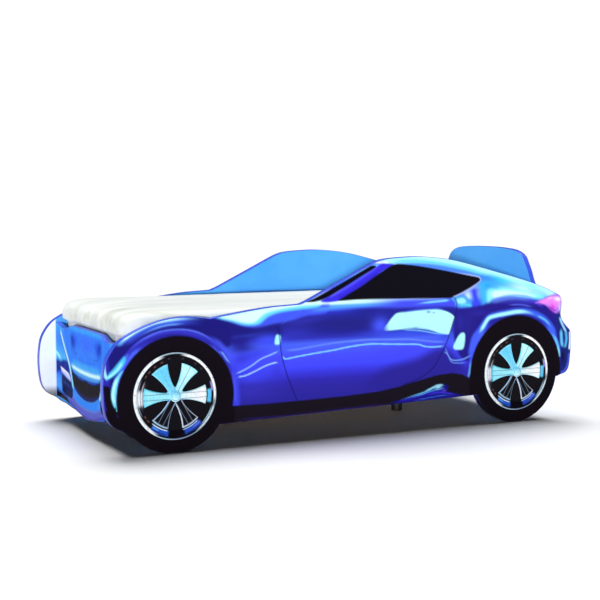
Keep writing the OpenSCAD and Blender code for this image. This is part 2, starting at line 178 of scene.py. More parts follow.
def blue_board():
    """Satin melamine board: sky blue, and near-white on the inside of the nose, with a painted shadow that
    darkens it towards its foot.
    """
    f = Finish("blue_board", roughness=0.45, specular=0.3)
    cloud = f.noise(160 * MM, detail=4)
    blue = f.ramp(cloud, (0.35, "4aa6f8"), (0.65, "58b2fd"))
    pale = f.ramp(cloud, (0.35, "f8fafe"), (0.65, "ffffff"))
    place = f.add("ShaderNodeSeparateXYZ", {0: f.place()})
    nose = f.span(place.outputs[0], front_face_x - 4 * MM, front_face_x + 2 * MM, 1, 0)
    # Painted shadow: the near-white inside of the nose fades to near black towards its foot.
    from_foot = f.span(place.outputs[2], NOSE_SHADE_FOOT, NOSE_SHADE_TOP)
    painted_foot_shadow = f.ramp(from_foot, (0.0, "17171c"), (0.55, "9c9c9e"), (1.0, "ffffff"))
    pale = f.mix(1.0, pale, painted_foot_shadow, "MULTIPLY")
    speckle = f.ramp(f.noise(1.6 * MM, detail=2), (0.35, "f4f6fa"), (0.6, "ffffff"))
    f.link(f.mix(1.0, f.mix(nose, blue, pale), speckle, "MULTIPLY"), "Base Color")
    f.rough(f.noise(20 * MM), 0.38, 0.52)
    f.bump(f.noise(1.1 * MM, detail=3), 0.03 * MM, 0.5)
    return f.material


def edge_banding():
    """Glossy plastic edge band, a deeper blue than the boards."""
    f = Finish("edge_banding", roughness=0.35, ior=1.3)
    height = f.add("ShaderNodeSeparateXYZ", {0: f.place()}).outputs[2]
    # Darker towards the floor: near black up to about 60 mm, reaching its full blue at 200 mm.
    from_floor = f.span(height, 0.0, BAND_SHADE_TOP)
    low_part = f.ramp(from_floor, (0.3, "121018"), (0.45, "231a5c"), (0.7, "3038b4"), (1.0, "4560e2"))
    shade = f.ramp(f.noise(60 * MM, detail=3), (0.35, "dde2f4"), (0.65, "ffffff"))
    f.link(f.mix(1.0, low_part, shade, "MULTIPLY"), "Base Color")
    f.rough(f.noise(12 * MM), 0.24, 0.38)
    f.bump(f.noise(2.5 * MM), 0.03 * MM, 0.4)
    return f.material


def pine(name="pine", along="x"):
    """Planed pine with its grain running along the bed, x, or across it, y."""
    f = Finish(name, roughness=0.55, specular=0.3)
    stretch = {"x": (1, 14, 14), "y": (14, 1, 14)}[along]
    warp = f.noise(60 * MM, detail=2, where=f.place(stretch), distortion=0.6)
    growth = {"Vector": f.place(stretch), "Scale": 9.0, "Distortion": 5.0, "Detail": 3.0}
    rings = f.add("ShaderNodeTexWave", growth, bands_direction={"x": "Y", "y": "X"}[along])
    grain = f.ramp(rings.outputs[0], (0.1, "c99a5e"), (0.45, "e2bd83"), (0.9, "edd0a0"))
    blotch = f.ramp(warp, (0.3, "e8d6bc"), (0.7, "ffffff"))
    f.link(f.mix(1.0, grain, blotch, "MULTIPLY"), "Base Color")
    f.rough(rings.outputs[1], 0.5, 0.68)
    f.bump(rings.outputs[1], 0.06 * MM, 0.6)
    return f.material


def plated(name, dark, light, roughness):
    """Plated steel with faint drawing marks and cloudy wear."""
    f = Finish(name, roughness=roughness, metallic=1.0)
    marks = f.noise(3 * MM, detail=5, where=f.place((1, 1, 12)))
    f.link(f.ramp(marks, (0.3, dark), (0.7, light)), "Base Color")
    f.rough(f.noise(9 * MM, detail=4), roughness - 0.08, roughness + 0.12)
    f.bump(marks, 0.02 * MM, 0.4)
    return f.material


def moulded_plastic(name, dark, light, roughness=0.55):
    """Moulded plastic with a fine spark-eroded texture."""
    f = Finish(name, roughness=roughness, specular=0.35)
    f.link(f.ramp(f.noise(14 * MM, detail=4), (0.35, dark), (0.65, light)), "Base Color")
    f.rough(f.noise(5 * MM), roughness - 0.08, roughness + 0.08)
    f.bump(f.noise(0.6 * MM, detail=2), 0.05 * MM, 0.6)
    return f.material


def plated_plastic(name):
    """Bright plated plastic; its painted reflections, the light and dark of the plating, are the colour of
    the mesh's own points.
    """
    f = Finish(name, roughness=0.16, ior=1.14)
    shade = f.add("ShaderNodeAttribute", attribute_name="print").outputs["Color"]
    haze = f.ramp(f.noise(6 * MM, detail=4), (0.3, "e6ecf4"), (0.6, "ffffff"))
    f.link(f.mix(1.0, shade, haze, "MULTIPLY"), "Base Color")
    f.rough(f.noise(8 * MM), 0.1, 0.22)
    f.bump(f.noise(3 * MM, detail=1), 0.02 * MM, 0.3)
    return f.material


def foam():
    """Open-cell mattress foam."""
    f = Finish("mattress_foam", roughness=0.95, specular=0.1)
    cells = f.add("ShaderNodeTexVoronoi", {"Vector": f.place(), "Scale": 1 / (1.4 * MM)}).outputs["Distance"]
    f.link(f.ramp(cells, (0.1, "e2dac0"), (0.6, "f4efdf")), "Base Color")
    f.bump(cells, 0.5 * MM, 0.7)
    return f.material


def white_sheet():
    """White cotton: a plain weave, soft sheen, and painted shade, a little cream, in its folds and where the
    cloth bunches.
    """
    f = Finish("white_sheet", roughness=0.85, specular=0.15)
    f.set("Sheen Weight", 0.1)
    f.set("Sheen Roughness", 0.5)
    threads = {"Vector": f.place(), "Scale": 0.314 / THREAD, "Distortion": 0.6}
    warp = f.add("ShaderNodeTexWave", threads).outputs[1]
    weft = f.add("ShaderNodeTexWave", threads, bands_direction="Y").outputs[1]
    weave = f.mix(0.5, warp, weft)
    cloud = f.noise(90 * MM, detail=4, where=f.place((0.35, 1, 1)))
    white = f.ramp(cloud, (0.3, "dde3e1"), (0.62, "eaeeec"))
    # Painted shade from the sheet's points: darker and creamier in its folds, streaks and on its sides.
    fold = f.add("ShaderNodeAttribute", attribute_name="fold").outputs["Fac"]
    shade = f.ramp(fold, (0.0, "cfcdb8"), (0.35, "eeeee6"), (0.75, "ffffff"))
    f.link(f.mix(1.0, white, shade, "MULTIPLY"), "Base Color")
    f.bump(weave, 0.05 * MM, 0.35)
    return f.material


materials = {
    "printed_film": printed_film(),
    "blue_board": blue_board(),
    "edge_banding": edge_banding(),
    "pine": pine(),
    "pine_across": pine("pine_across", along="y"),
    "zinc_steel": plated("zinc_steel", "9aa0a8", "c4cad0", 0.38),
    "brass_plated_steel": plated("brass_plated_steel", "a8925a", "d2bf86", 0.36),
    "black_plastic": moulded_plastic("black_plastic", "131216", "1d1b20"),
    "chrome_trim": plated_plastic("chrome_trim"),
    "chrome_cap": plated_plastic("chrome_cap"),
    "mattress_foam": foam(),
    "white_sheet": white_sheet(),
}


# ---------------------------------------------------------------- making pieces


def joined_copy(node, whole=True):
    """The mesh of a CAD part, with its loose triangles joined and its flat faces made whole."""
    bm = bmesh.new()
    bm.from_mesh(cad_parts[node].data)
    bmesh.ops.remove_doubles(bm, verts=bm.verts, dist=WELD)
    if whole:
        bmesh.ops.dissolve_limit(bm, angle_limit=math.radians(0.2), verts=bm.verts, edges=bm.edges)
    return bm


def mark_sharp(bm):
    """Shades curved stretches smooth; big flat faces and sharp edges stay crisp."""
    for face in bm.faces:
        face.smooth = len(face.verts) < 7 and face.calc_area() < FLAT_AREA
    for edge in bm.edges:
        edge.smooth = edge.is_manifold and edge.calc_face_angle(0) < SHARP


def piece(name, bm, slot, replaces=(), look=None):
    """Turns a bmesh into a finished piece: its material, its body and the CAD parts it stands for."""
    mesh = bpy.data.meshes.new(name)
    bm.to_mesh(mesh)
    bm.free()
    made = bpy.data.objects.new(name, mesh)
    bpy.context.scene.collection.objects.link(made)
    mesh.materials.append(materials[look or slot])
    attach(made, "root")
    if replaces:
        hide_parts(*replaces)
    return made


def ease(bm, width, segments=2):
    """Rounds every sharp edge a little."""
    sharp = [e for e in bm.edges if e.is_manifold and e.calc_face_angle(0) > SHARP]
    bmesh.ops.bevel(
        bm, geom=sharp, offset=width, offset_type="OFFSET", segments=segments, profile=0.5,
        affect="EDGES", clamp_overlap=True, material=-1,
    )


def eased_part(node, slot, width, look=None):
    """A CAD part with eased edges and its real finish. The thin faces of an edge band stay triangles."""
    bm = joined_copy(node, whole=slot != "edge_banding")
    ease(bm, width)
    mark_sharp(bm)
    return piece(f"{node}_finished", bm, slot, (node,), look)


def lathe(bm, profile, steps):
    """Spins a profile of (radius, height) points round the y axis; height runs outwards, to -y."""
    points = [bm.verts.new((r, -h, 0)) for r, h in profile]
    edges = [bm.edges.new(pair) for pair in zip(points, points[1:])]
    whole_turn = {"axis": (0, 1, 0), "angle": math.tau, "steps": steps, "use_merge": True}
    bmesh.ops.spin(bm, geom=points + edges, cent=(0, 0, 0), **whole_turn)
    bmesh.ops.remove_doubles(bm, verts=bm.verts, dist=WELD)


def colour_points(bm, colours):
    """Stores a colour at every point, in the attribute that the print and plating materials read: the colours
    of a print, or the painted reflections of a wheel cover.
    """
    layer = bm.verts.layers.float_color.new("print")
    for vert, colour in zip(bm.verts, np.clip(colours, 0, 1)):
        vert[layer] = (*colour, 1.0)


# ---------------------------------------------------------------- drawing the prints


def smooth(points, closed=False):
    """A smooth line through given points."""
    p = np.array(points, float)
    n = len(p)
    spans = range(n) if closed else range(n - 1)
    line = []
    for i in spans:
        if closed:
            a, b, c, d = p[i - 1], p[i], p[(i + 1) % n], p[(i + 2) % n]
        else:
            a, b, c, d = p[max(i - 1, 0)], p[i], p[i + 1], p[min(i + 2, n - 1)]
        for t in np.arange(CURVE_STEPS) / CURVE_STEPS:
            bend = (2 * a - 5 * b + 4 * c - d) * t * t + (3 * b - a - 3 * c + d) * t**3
            line.append((2 * b + (c - a) * t + bend) / 2)
    if not closed:
        line.append(p[-1])
    return np.array(line)


def step(x):
    """0 below 0, 1 above 1, and smooth between."""
    x = np.clip(x, 0, 1)
    return x * x * (3 - 2 * x)


def along_line(p, line):
    """The distance of each point from a line, and how far along the line its nearest place is, 0 to 1."""
    best = np.full(len(p), 1e9)
    place = np.zeros(len(p))
    lengths = np.linalg.norm(np.diff(line, axis=0), axis=1)
    start = np.concatenate([[0], np.cumsum(lengths)])
    for i, length in enumerate(lengths):
        if length < 1e-9:
            continue
        d = (line[i + 1] - line[i]) / length
        t = np.clip((p - line[i]) @ d, 0, length)
        gap = np.linalg.norm(p - line[i] - t[:, None] * d, axis=1)
        nearer = gap < best
        best[nearer] = gap[nearer]
        place[nearer] = (start[i] + t[nearer]) / start[-1]
    return best, place


def inside(p, outline):
    """True for each point inside a closed outline."""
    found = np.zeros(len(p), bool)
    for a, b in zip(outline, np.roll(outline, -1, axis=0)):
        crosses = (a[1] > p[:, 1]) != (b[1] > p[:, 1])
        if a[1] == b[1]:
            continue
        at = a[0] + (p[:, 1] - a[1]) * (b[0] - a[0]) / (b[1] - a[1])
        found ^= crosses & (p[:, 0] < at)
    return found


class Print:
    """A printed picture: a colour at every point of a flat face, laid on in coats."""

    def __init__(self, points, ground):
        self.p = np.array(points, float)
        self.c = np.tile(srgb(ground), (len(self.p), 1))

    def near(self, shape, margin):
        """The rows of the points that lie within a margin of a shape's box."""
        low, high = shape.min(0) - margin, shape.max(0) + margin
        return np.where(((self.p > low) & (self.p < high)).all(1))[0]

    def lay(self, rows, colour, weight):
        """One coat of colour on some rows, each with its own weight."""
        w = weight[:, None]
        self.c[rows] = self.c[rows] * (1 - w) + colour * w

    def bands(self, stops):
        """Colour by height over the whole face: stops are (height, colour) from low to high."""
        heights = [s[0] for s in stops]
        colours = np.array([srgb(s[1]) for s in stops])
        self.c = np.stack([np.interp(self.p[:, 1], heights, colours[:, k]) for k in range(3)], 1)

    def patch(self, outline, colour, edge=4, strength=1.0, curved=True, fade=None):
        """A filled shape with an edge this soft; fade=(from, to) thins it towards its first point."""
        shape = smooth(outline, closed=True) if curved else np.array(outline, float)
        rows = self.near(shape, edge)
        p = self.p[rows]
        gap, _ = along_line(p, np.vstack([shape, shape[:1]]))
        signed = np.where(inside(p, shape), gap, -gap)
        weight = step(signed / edge / 2 + 0.5) * strength
        if fade is not None:
            a, b = np.array(fade[0], float), np.array(fade[1], float)
            weight = weight * step((p - a) @ (b - a) / ((b - a) @ (b - a)))
        self.lay(rows, srgb(colour), weight)

    def stroke(self, line, colour, width, edge=3, ends=(0.1, 0.1), strength=1.0):
        """A brush line of this width, thinning to nothing over the first and last shares of its length."""
        line = smooth(line)
        rows = self.near(line, width + edge)
        gap, place = along_line(self.p[rows], line)
        full = step(place / max(ends[0], 1e-6)) * step((1 - place) / max(ends[1], 1e-6))
        half = width / 2 * (0.35 + 0.65 * full)
        weight = step((half - gap) / edge / 2 + 0.5) * full * strength
        self.lay(rows, srgb(colour), weight)

    def glow(self, centre, size, colour, strength=1.0, turn=0.0):
        """A soft oval spot."""
        a = np.radians(turn)
        d = self.p - np.array(centre, float)
        x = (d[:, 0] * np.cos(a) + d[:, 1] * np.sin(a)) / size[0]
        y = (d[:, 1] * np.cos(a) - d[:, 0] * np.sin(a)) / size[1]
        weight = np.exp(-(x * x + y * y) * 1.4) * strength
        rows = np.where(weight > 0.004)[0]
        self.lay(rows, srgb(colour), weight[rows])


# ---------------------------------------------------------------- the side print

ARCH_FRONT = ((5, 165), (182, 181))
ARCH_REAR = ((1215, 172), (184, 187))


def arch(middle, radii, start, stop, steps=30):
    """Points along a wheel arch, anticlockwise from start to stop degrees."""
    a = np.radians(np.linspace(start, stop, steps))
    return [(middle[0] + radii[0] * np.cos(t), middle[1] + radii[1] * np.sin(t)) for t in a]


SILL_TOP = [
    (187, 127), (300, 126), (420, 128), (560, 131), (680, 137), (760, 148), (830, 162), (900, 176),
    (960, 180), (1000, 173), (1031, 156),
]
WINDSHIELD = [
    (428, 430), (462, 430), (500, 441), (560, 471), (620, 503), (672, 531), (660, 537), (640, 530),
    (560, 490), (500, 461), (455, 441),
]
PILLAR = [
    (478, 430), (545, 430), (600, 459), (660, 494), (700, 520), (738, 538), (712, 542), (688, 541),
    (660, 524), (600, 492), (540, 460),
]
WINDOW = [
    (541, 430), (560, 442), (620, 473), (680, 509), (737, 538), (790, 537), (850, 529), (920, 517),
    (1000, 502), (1050, 493), (1064, 489), (1068, 481), (1058, 472), (1030, 456), (990, 438), (958, 426),
    (900, 426), (800, 428), (700, 430), (610, 431),
]
DOOR_GLARE = [
    (702, 331), (716, 351), (735, 372), (754, 384), (800, 387), (850, 390), (900, 390), (930, 384),
    (952, 375), (966, 363), (962, 345), (952, 318), (944, 308), (915, 312), (880, 323), (850, 329),
    (800, 333), (750, 331),
]
QUARTER_GLARE = [
    (964, 266), (973, 284), (985, 302), (998, 310), (1008, 305), (1008, 280), (1002, 258), (986, 255),
    (970, 257),
]


def door_shades(art):
    """The door and the body under it, from sill to belt line."""
    art.bands([(110, "2e279a"), (135, "302aa0"), (165, "322ba2"), (190, "342cb2"), (212, "3c3adc"),
               (232, "444afc"), (262, "494fff"), (288, "4b60fb"), (303, "4a64f5"), (318, "3436be"),
               (338, "28279a"), (362, "252584"), (385, "272a98"), (396, "2f36c8"), (406, "4260f1"),
               (416, "5bb2fa"), (424, "c8fcff"), (432, "dcfeff"), (470, "4a60f4"), (500, "4a8cf8"),
               (560, "a8f8ff")])


def belt_line(art):
    """Under the window, towards the back, the belt line goes from ice to blue."""
    art.patch([(600, 432), (700, 431), (900, 430), (1000, 440), (1000, 395), (900, 392), (700, 396),
               (620, 410)], "4650f0", edge=14, fade=((600, 420), (780, 420)))
    art.patch([(500, 399), (640, 404), (760, 400), (960, 396), (970, 372), (700, 380),
               (560, 384)], "262690", edge=8, fade=((520, 400), (640, 400)))


def door_middle(art):
    """The door's dark middle and its bright shoulder."""
    art.glow((400, 335), (70, 22), "3234b4", 0.9)
    art.glow((560, 350), (150, 34), "242480", 0.8)
    art.glow((690, 346), (34, 30), "4858fa", 0.95)
    art.glow((650, 322), (40, 12), "3238c0", 0.6)
    art.glow((790, 318), (150, 12), "3c58ee", 0.75)
    art.glow((420, 372), (80, 14), "3836b8", 0.5, turn=8)
    art.glow((940, 300), (40, 16), "3348d8", 0.6)


def door_foot(art):
    """The darker lower back of the door."""
    art.patch([(700, 205), (820, 235), (905, 268), (960, 250), (1000, 190), (900, 160), (780, 140),
               (640, 150)], "2f2899", edge=22)
    art.glow((800, 270), (120, 22), "4446f0", 0.5)


def front_wing(art):
    """The front wing, between the wheel and the door."""
    art.patch([(150, 392), (215, 372), (262, 356), (330, 362), (345, 332), (300, 326), (240, 322),
               (190, 312), (120, 345), (80, 378)], "201e7a", edge=14)
    art.glow((215, 300), (60, 22), "27248e", 0.85)
    art.glow((300, 318), (52, 22), "4050f0", 0.95)
    art.glow((215, 334), (75, 6), "3240b8", 0.6, turn=4)
    art.glow((235, 272), (90, 16), "3a40e4", 0.8, turn=12)
    art.glow((250, 215), (70, 30), "4046ee", 0.9)
    art.glow((240, 165), (90, 26), "3733b8", 0.75)
    art.glow((330, 225), (24, 40), "3a36cc", 0.5)
    art.patch([(184, 128), (205, 128), (203, 200), (198, 240), (186, 262), (172, 280), (160, 300),
               (150, 292), (172, 240), (184, 190)], "3e44e6", edge=8)
    art.stroke([(191, 135), (190, 190), (180, 235)], "5560f6", 6, edge=6, strength=0.6)


def front_arch_rim(art):
    """The wing over the front wheel, with its long highlight."""
    art.patch([(-219, 200), (-216, 240), (-205, 290), (-172, 335), (-130, 365), (-70, 390), (0, 402),
               (90, 398), (150, 385), (180, 345), (172, 305), (120, 310), (80, 340), (0, 352), (-80, 340),
               (-150, 285), (-180, 215), (-190, 160), (-215, 160)], "1f1c78", edge=8)
    art.stroke([(-165, 320), (-130, 345), (-80, 370), (-20, 384), (40, 386),
                (100, 376)], "3c50dc", 18, edge=10, ends=(0.15, 0.35), strength=0.9)
    art.stroke([(-178, 322), (-150, 346), (-110, 369), (-60, 388), (0, 396), (50, 396),
                (105, 388)], "5c9cf4", 17, edge=5, ends=(0.06, 0.4))
    art.stroke([(-168, 329), (-146, 347), (-108, 369), (-60, 387), (-10, 394), (40, 394),
                (80, 391)], "c8f8ff", 9, edge=2.5, ends=(0.12, 0.5))
    art.stroke([(-120, 343), (-70, 366), (-20, 378),
                (40, 380)], "6ca8f8", 3.5, edge=2.5, ends=(0.5, 0.25))
    art.patch([(-166, 268), (-150, 298), (-118, 330), (-80, 350), (-30, 362), (30, 362), (80, 350),
               (120, 330), (150, 300), (172, 262), (184, 215), (176, 205), (160, 250), (130, 300),
               (90, 333), (0, 352), (-80, 338), (-130, 303), (-162, 255)], "3634c0", edge=5)
    art.stroke([(-150, 290), (-118, 326), (-60, 355), (0, 364), (60, 357), (110, 333),
                (150, 294)], "5a74f2", 4, edge=3, ends=(0.3, 0.3))
    art.stroke([(95, 346), (130, 325), (160, 296), (180, 262),
                (188, 235)], "4a58f0", 12, edge=8, ends=(0.4, 0.3), strength=0.85)
    art.glow((205, 318), (34, 26), "25228a", 0.85, turn=-30)
    art.glow((212, 268), (24, 20), "3a3cd0", 0.7)
    art.stroke([(134, 293), (150, 288), (163, 270), (180, 250)], "78acfa", 4, edge=2.5, ends=(0.3, 0.35))


def nose_corner(art):
    """The nose corner: a bent highlight over a crescent."""
    art.patch([(-219, 300), (-205, 300), (-196, 262), (-196, 215), (-207, 150),
               (-219, 150)], "2e2cac", edge=5)
    art.patch([(-207, 228), (-196, 232), (-178, 243), (-160, 259), (-148, 280), (-150, 294), (-166, 280),
               (-184, 260), (-198, 246)], "4cc0f8", edge=3)
    art.stroke([(-204, 233), (-186, 245), (-168, 262),
                (-154, 284)], "9cf4ff", 7, edge=2.5, ends=(0.1, 0.25))
    art.stroke([(-211, 279), (-212, 260), (-208, 240),
                (-203, 230)], "a8eeff", 8, edge=2.5, ends=(0.15, 0.1))
    art.patch([(-150, 292), (-140, 298), (-150, 262), (-165, 240), (-182, 232), (-176, 222), (-160, 246),
               (-142, 275)], "4a70f0", edge=4, strength=0.8)
    art.patch([(-218, 205), (-206, 212), (-196, 205), (-191, 180), (-180, 150), (-172, 130), (-190, 90),
               (-214, 100), (-219, 160)], "171018", edge=3)
    art.stroke([(-217, 205), (-214, 170), (-207, 135)], "2c22a0", 5, edge=3)
    art.patch([(-156, 253), (-169, 243), (-182, 226), (-190, 203), (-192, 182), (-188, 160), (-176, 136),
               (-177, 165), (-176, 190), (-172, 215), (-166, 234)], "74dcfc", edge=1.8)
    art.stroke([(-166, 240), (-178, 222), (-185, 198), (-186, 175),
                (-180, 150)], "c0fcff", 7, edge=2.5, ends=(0.25, 0.25))


def bonnet_light(art):
    """The wedge of light along the bonnet, which runs on into the belt line."""
    art.patch([(118, 398), (160, 404), (220, 412), (300, 422), (420, 430), (500, 432), (500, 396),
               (430, 388), (380, 376), (320, 368), (262, 360), (215, 366), (165, 384),
               (130, 393)], "4458f0", edge=6)
    art.patch([(132, 396), (180, 403), (240, 412), (320, 423), (420, 433), (480, 433), (470, 414),
               (400, 408), (340, 402), (300, 390), (268, 369), (225, 368), (180, 381)], "6cdcfc", edge=6)
    art.patch([(146, 395), (190, 402), (240, 410), (290, 417), (340, 422), (420, 427), (400, 421),
               (340, 412), (290, 400), (256, 376), (225, 375), (185, 385)], "d8ffff", edge=6)
    art.stroke([(300, 418), (380, 424), (460, 427), (560, 425), (660, 424),
                (780, 420)], "e0ffff", 12, edge=6, ends=(0.05, 0.75))
    art.stroke([(420, 400), (500, 408), (620, 412),
                (740, 414)], "58a8fa", 9, edge=8, ends=(0.2, 0.7), strength=0.7)
    art.stroke([(150, 398), (220, 410), (320, 423),
                (405, 429)], "4c5ccc", 5, edge=3, ends=(0.1, 0.1), strength=0.75)
    art.stroke([(336, 362), (372, 382), (410, 404),
                (440, 418)], "4868e4", 3, edge=3, ends=(0.2, 0.4), strength=0.7)


def roof(art):
    """The roof and the pillar behind the window."""
    art.patch([(620, 525), (690, 556), (760, 563), (860, 564), (980, 546), (1150, 505), (1330, 452),
               (1400, 425), (1400, 400), (1330, 430), (1180, 462), (1060, 478), (1068, 490), (930, 512),
               (760, 536), (690, 540)], "5086f4", edge=6)
    art.stroke([(672, 549), (720, 553), (780, 556), (850, 554), (920, 547), (1000, 532), (1100, 506),
                (1200, 479), (1300, 451), (1390, 420)], "b8fbff", 24, edge=7, ends=(0.06, 0.05))
    art.stroke([(690, 545), (760, 549), (850, 546), (940, 533), (1040, 512),
                (1130, 489)], "62d4fb", 10, edge=8, ends=(0.2, 0.25))
    art.stroke([(760, 540), (880, 531), (960, 517),
                (1060, 498)], "4c86f0", 6, edge=5, ends=(0.3, 0.2), strength=0.8)
    art.stroke([(665, 548), (690, 546), (720, 545)], "ffffff", 6, edge=4, strength=0.8)
    art.glow((1150, 478), (90, 14), "30d0fb", 0.95, turn=-15)
    art.glow((1085, 480), (50, 18), "3c78f4", 0.9)
    art.glow((1270, 452), (50, 12), "7cf2ff", 0.8, turn=-15)


def haunch(art):
    """The bright haunch over the rear wheel and the dark body round it."""
    art.patch([(1062, 470), (1100, 478), (1180, 462), (1290, 436), (1330, 425), (1330, 412), (1240, 424),
               (1160, 428), (1105, 414), (1080, 400), (1062, 420)], "44b4fa", edge=14)
    art.patch([(1096, 446), (1128, 456), (1190, 452), (1262, 438), (1318, 424), (1322, 414), (1280, 414),
               (1230, 424), (1165, 427), (1120, 416), (1098, 402)], "8ef0fd", edge=10)
    art.patch([(1112, 436), (1145, 444), (1200, 441), (1262, 430), (1290, 420), (1230, 427), (1170, 429),
               (1128, 419)], "d4fdff", edge=6)
    art.glow((1122, 458), (28, 10), "4aa0fa", 0.7, turn=-10)
    art.glow((1235, 450), (60, 12), "c8faff", 0.8, turn=-14)
    art.glow((1096, 462), (22, 14), "2aa0f6", 0.8)
    art.stroke([(1040, 462), (1046, 430), (1060, 392)], "3c48ee", 34, edge=16, ends=(0.2, 0.1))
    art.glow((1000, 446), (30, 14), "6c8cf6", 0.8, turn=25)
    art.patch([(985, 385), (1040, 392), (1075, 398), (1110, 408), (1160, 420), (1215, 422), (1270, 414),
               (1320, 396), (1360, 372), (1388, 335), (1398, 290), (1390, 250), (1370, 300), (1330, 345),
               (1270, 375), (1180, 378), (1110, 366), (1070, 330), (1035, 290), (1030, 235), (1020, 215),
               (985, 240), (965, 300), (972, 350)], "271f86", edge=7)
    art.stroke([(1090, 404), (1140, 414), (1200, 419), (1260, 413),
                (1310, 400)], "5a78e4", 15, edge=8, ends=(0.2, 0.3))
    art.stroke([(1150, 421), (1200, 424), (1260, 417), (1300, 406)], "7cc8ff", 4, edge=3, ends=(0.5, 0.3))
    art.stroke([(1130, 400), (1190, 405), (1250, 401),
                (1310, 386)], "3a34b8", 9, edge=5, ends=(0.3, 0.3), strength=0.8)
    art.stroke([(1170, 394), (1230, 394),
                (1290, 382)], "5c6cf0", 4, edge=3, ends=(0.3, 0.3), strength=0.8)
    art.stroke([(1240, 414), (1290, 400),
                (1330, 380)], "4a3ce0", 7, edge=6, ends=(0.3, 0.3), strength=0.9)
    art.glow((1020, 340), (26, 50), "2a2890", 0.7)
    art.glow((1060, 372), (40, 12), "2f2a9c", 0.7)
    art.glow((990, 345), (16, 30), "2c2c9a", 0.8)


def rear_quarter(art):
    """The rear quarter, behind the door."""
    art.patch([(955, 424), (980, 432), (1010, 430), (1036, 398), (1000, 393), (975, 398),
               (968, 412)], "4ca4f0", edge=5)
    art.patch([(976, 420), (1000, 424), (1012, 412), (1000, 404), (980, 408)], "9cecff", edge=5)
    art.stroke([(985, 402), (1015, 402), (1038, 394)], "5cd4f4", 6, edge=4, ends=(0.2, 0.3))
    art.stroke([(806, 409), (850, 413), (900, 416), (955, 419)], "80d8fa", 6, edge=3, ends=(0.5, 0.15))


def rear_arch_rim(art):
    """The rim of the rear arch."""
    art.stroke([(1030, 210), (1036, 250), (1052, 290), (1082, 328),
                (1110, 348)], "4862f6", 22, edge=8, ends=(0.25, 0.2))
    art.stroke([(1024, 160), (1030, 190), (1034, 225)], "6cb8fa", 6, edge=4, ends=(0.1, 0.4))
    art.stroke([(1055, 296), (1076, 322), (1096, 350), (1120, 361), (1170, 368), (1220, 373), (1262, 369),
                (1305, 355), (1340, 333), (1368, 300),
                (1386, 262)], "3f64f0", 18, edge=7, ends=(0.08, 0.12))
    art.stroke([(1060, 300), (1080, 326), (1100, 352), (1125, 360), (1170, 366), (1220, 371), (1262, 367),
                (1300, 353)], "a8f4ff", 12, edge=3.5, ends=(0.12, 0.3))
    art.stroke([(1296, 356), (1336, 336), (1362, 308)], "6cc8fc", 5, edge=3, ends=(0.2, 0.4))
    art.stroke([(1352, 300), (1376, 272), (1388, 240),
                (1394, 206)], "62c0fa", 12, edge=5, ends=(0.4, 0.1))
    art.stroke([(1384, 250), (1392, 228), (1395, 208)], "8ce4ff", 7, edge=3, ends=(0.3, 0.1))


def tail_lamp(art):
    """The pink tail lamp."""
    art.patch([(1290, 398), (1325, 412), (1352, 422), (1385, 424), (1402, 412), (1400, 388), (1388, 366),
               (1376, 360), (1352, 376), (1322, 394)], "b070e8", edge=4)
    art.patch([(1306, 401), (1335, 411), (1362, 417), (1392, 414), (1394, 396), (1380, 378), (1368, 374),
               (1346, 388)], "e884ee", edge=4)
    art.glow((1364, 380), (15, 11), "d23ad4", 0.95, turn=-40)
    art.glow((1332, 402), (18, 6), "ff8cf0", 0.9, turn=20)
    art.glow((1384, 408), (16, 8), "fff0fb", 1.0, turn=-10)
    art.glow((1352, 412), (14, 4), "f8c8ff", 0.9, turn=15)
    art.glow((1393, 380), (6, 18), "d8ccf6", 0.9)
    art.stroke([(1342, 386), (1366, 372), (1380, 366)], "6a2ab8", 3, edge=2, ends=(0.3, 0.2))


def tail_and_bumper(art):
    """The tail and the rear bumper."""
    art.patch([(1378, 350), (1398, 352), (1410, 325), (1430, 305), (1445, 300), (1445, 235), (1436, 180),
               (1425, 158), (1402, 150), (1385, 146), (1398, 200), (1396, 250),
               (1384, 300)], "1f2878", edge=4)
    art.stroke([(1392, 350), (1403, 325), (1418, 300),
                (1430, 282)], "9cdcff", 7, edge=3, ends=(0.15, 0.3))
    art.stroke([(1400, 312), (1402, 280), (1405, 255),
                (1412, 238)], "66c4fa", 10, edge=4, ends=(0.3, 0.2))
    art.stroke([(1416, 305), (1424, 275), (1420, 248),
                (1412, 238)], "58b8f4", 8, edge=4, ends=(0.3, 0.15))
    art.stroke([(1438, 300), (1440, 262), (1436, 228)], "d8f2ff", 8, edge=3, ends=(0.15, 0.15))
    art.stroke([(1437, 225), (1434, 190), (1420, 162), (1398, 153)], "4a5cd8", 8, edge=4, ends=(0.1, 0.1))
    art.glow((1410, 210), (10, 26), "14142c", 0.9)


def body_lines(art):
    """The fine light lines pressed into the body."""
    art.stroke([(190, 222), (214, 230), (246, 245), (276, 263), (308, 274),
                (338, 285)], "9cc8ff", 3.4, edge=1.4)
    art.stroke([(195, 212), (225, 216), (256, 227), (290, 241), (322, 249),
                (338, 247)], "b0dcff", 3.4, edge=1.4)
    art.stroke([(350, 284), (400, 286), (450, 292), (520, 299), (600, 303), (650, 304), (720, 301),
                (800, 298), (860, 290), (900, 285), (940, 284)], "6c90fa", 4, edge=3, ends=(0.05, 0.05))
    art.stroke([(348, 272), (352, 262), (362, 259), (400, 264), (460, 271), (520, 277), (580, 285),
                (650, 290), (710, 287), (780, 283), (830, 280), (852, 273), (884, 269),
                (936, 270)], "8cdcff", 3.6, edge=1.5, ends=(0.02, 0.04))
    art.stroke([(924, 250), (938, 246), (952, 228), (966, 221), (1000, 222), (1026, 231),
                (1044, 236)], "7cb0ff", 3.2, edge=2, ends=(0.1, 0.2))
    art.stroke([(932, 266), (944, 240), (958, 216), (985, 211),
                (1022, 211)], "6890f8", 3, edge=2, ends=(0.1, 0.2))


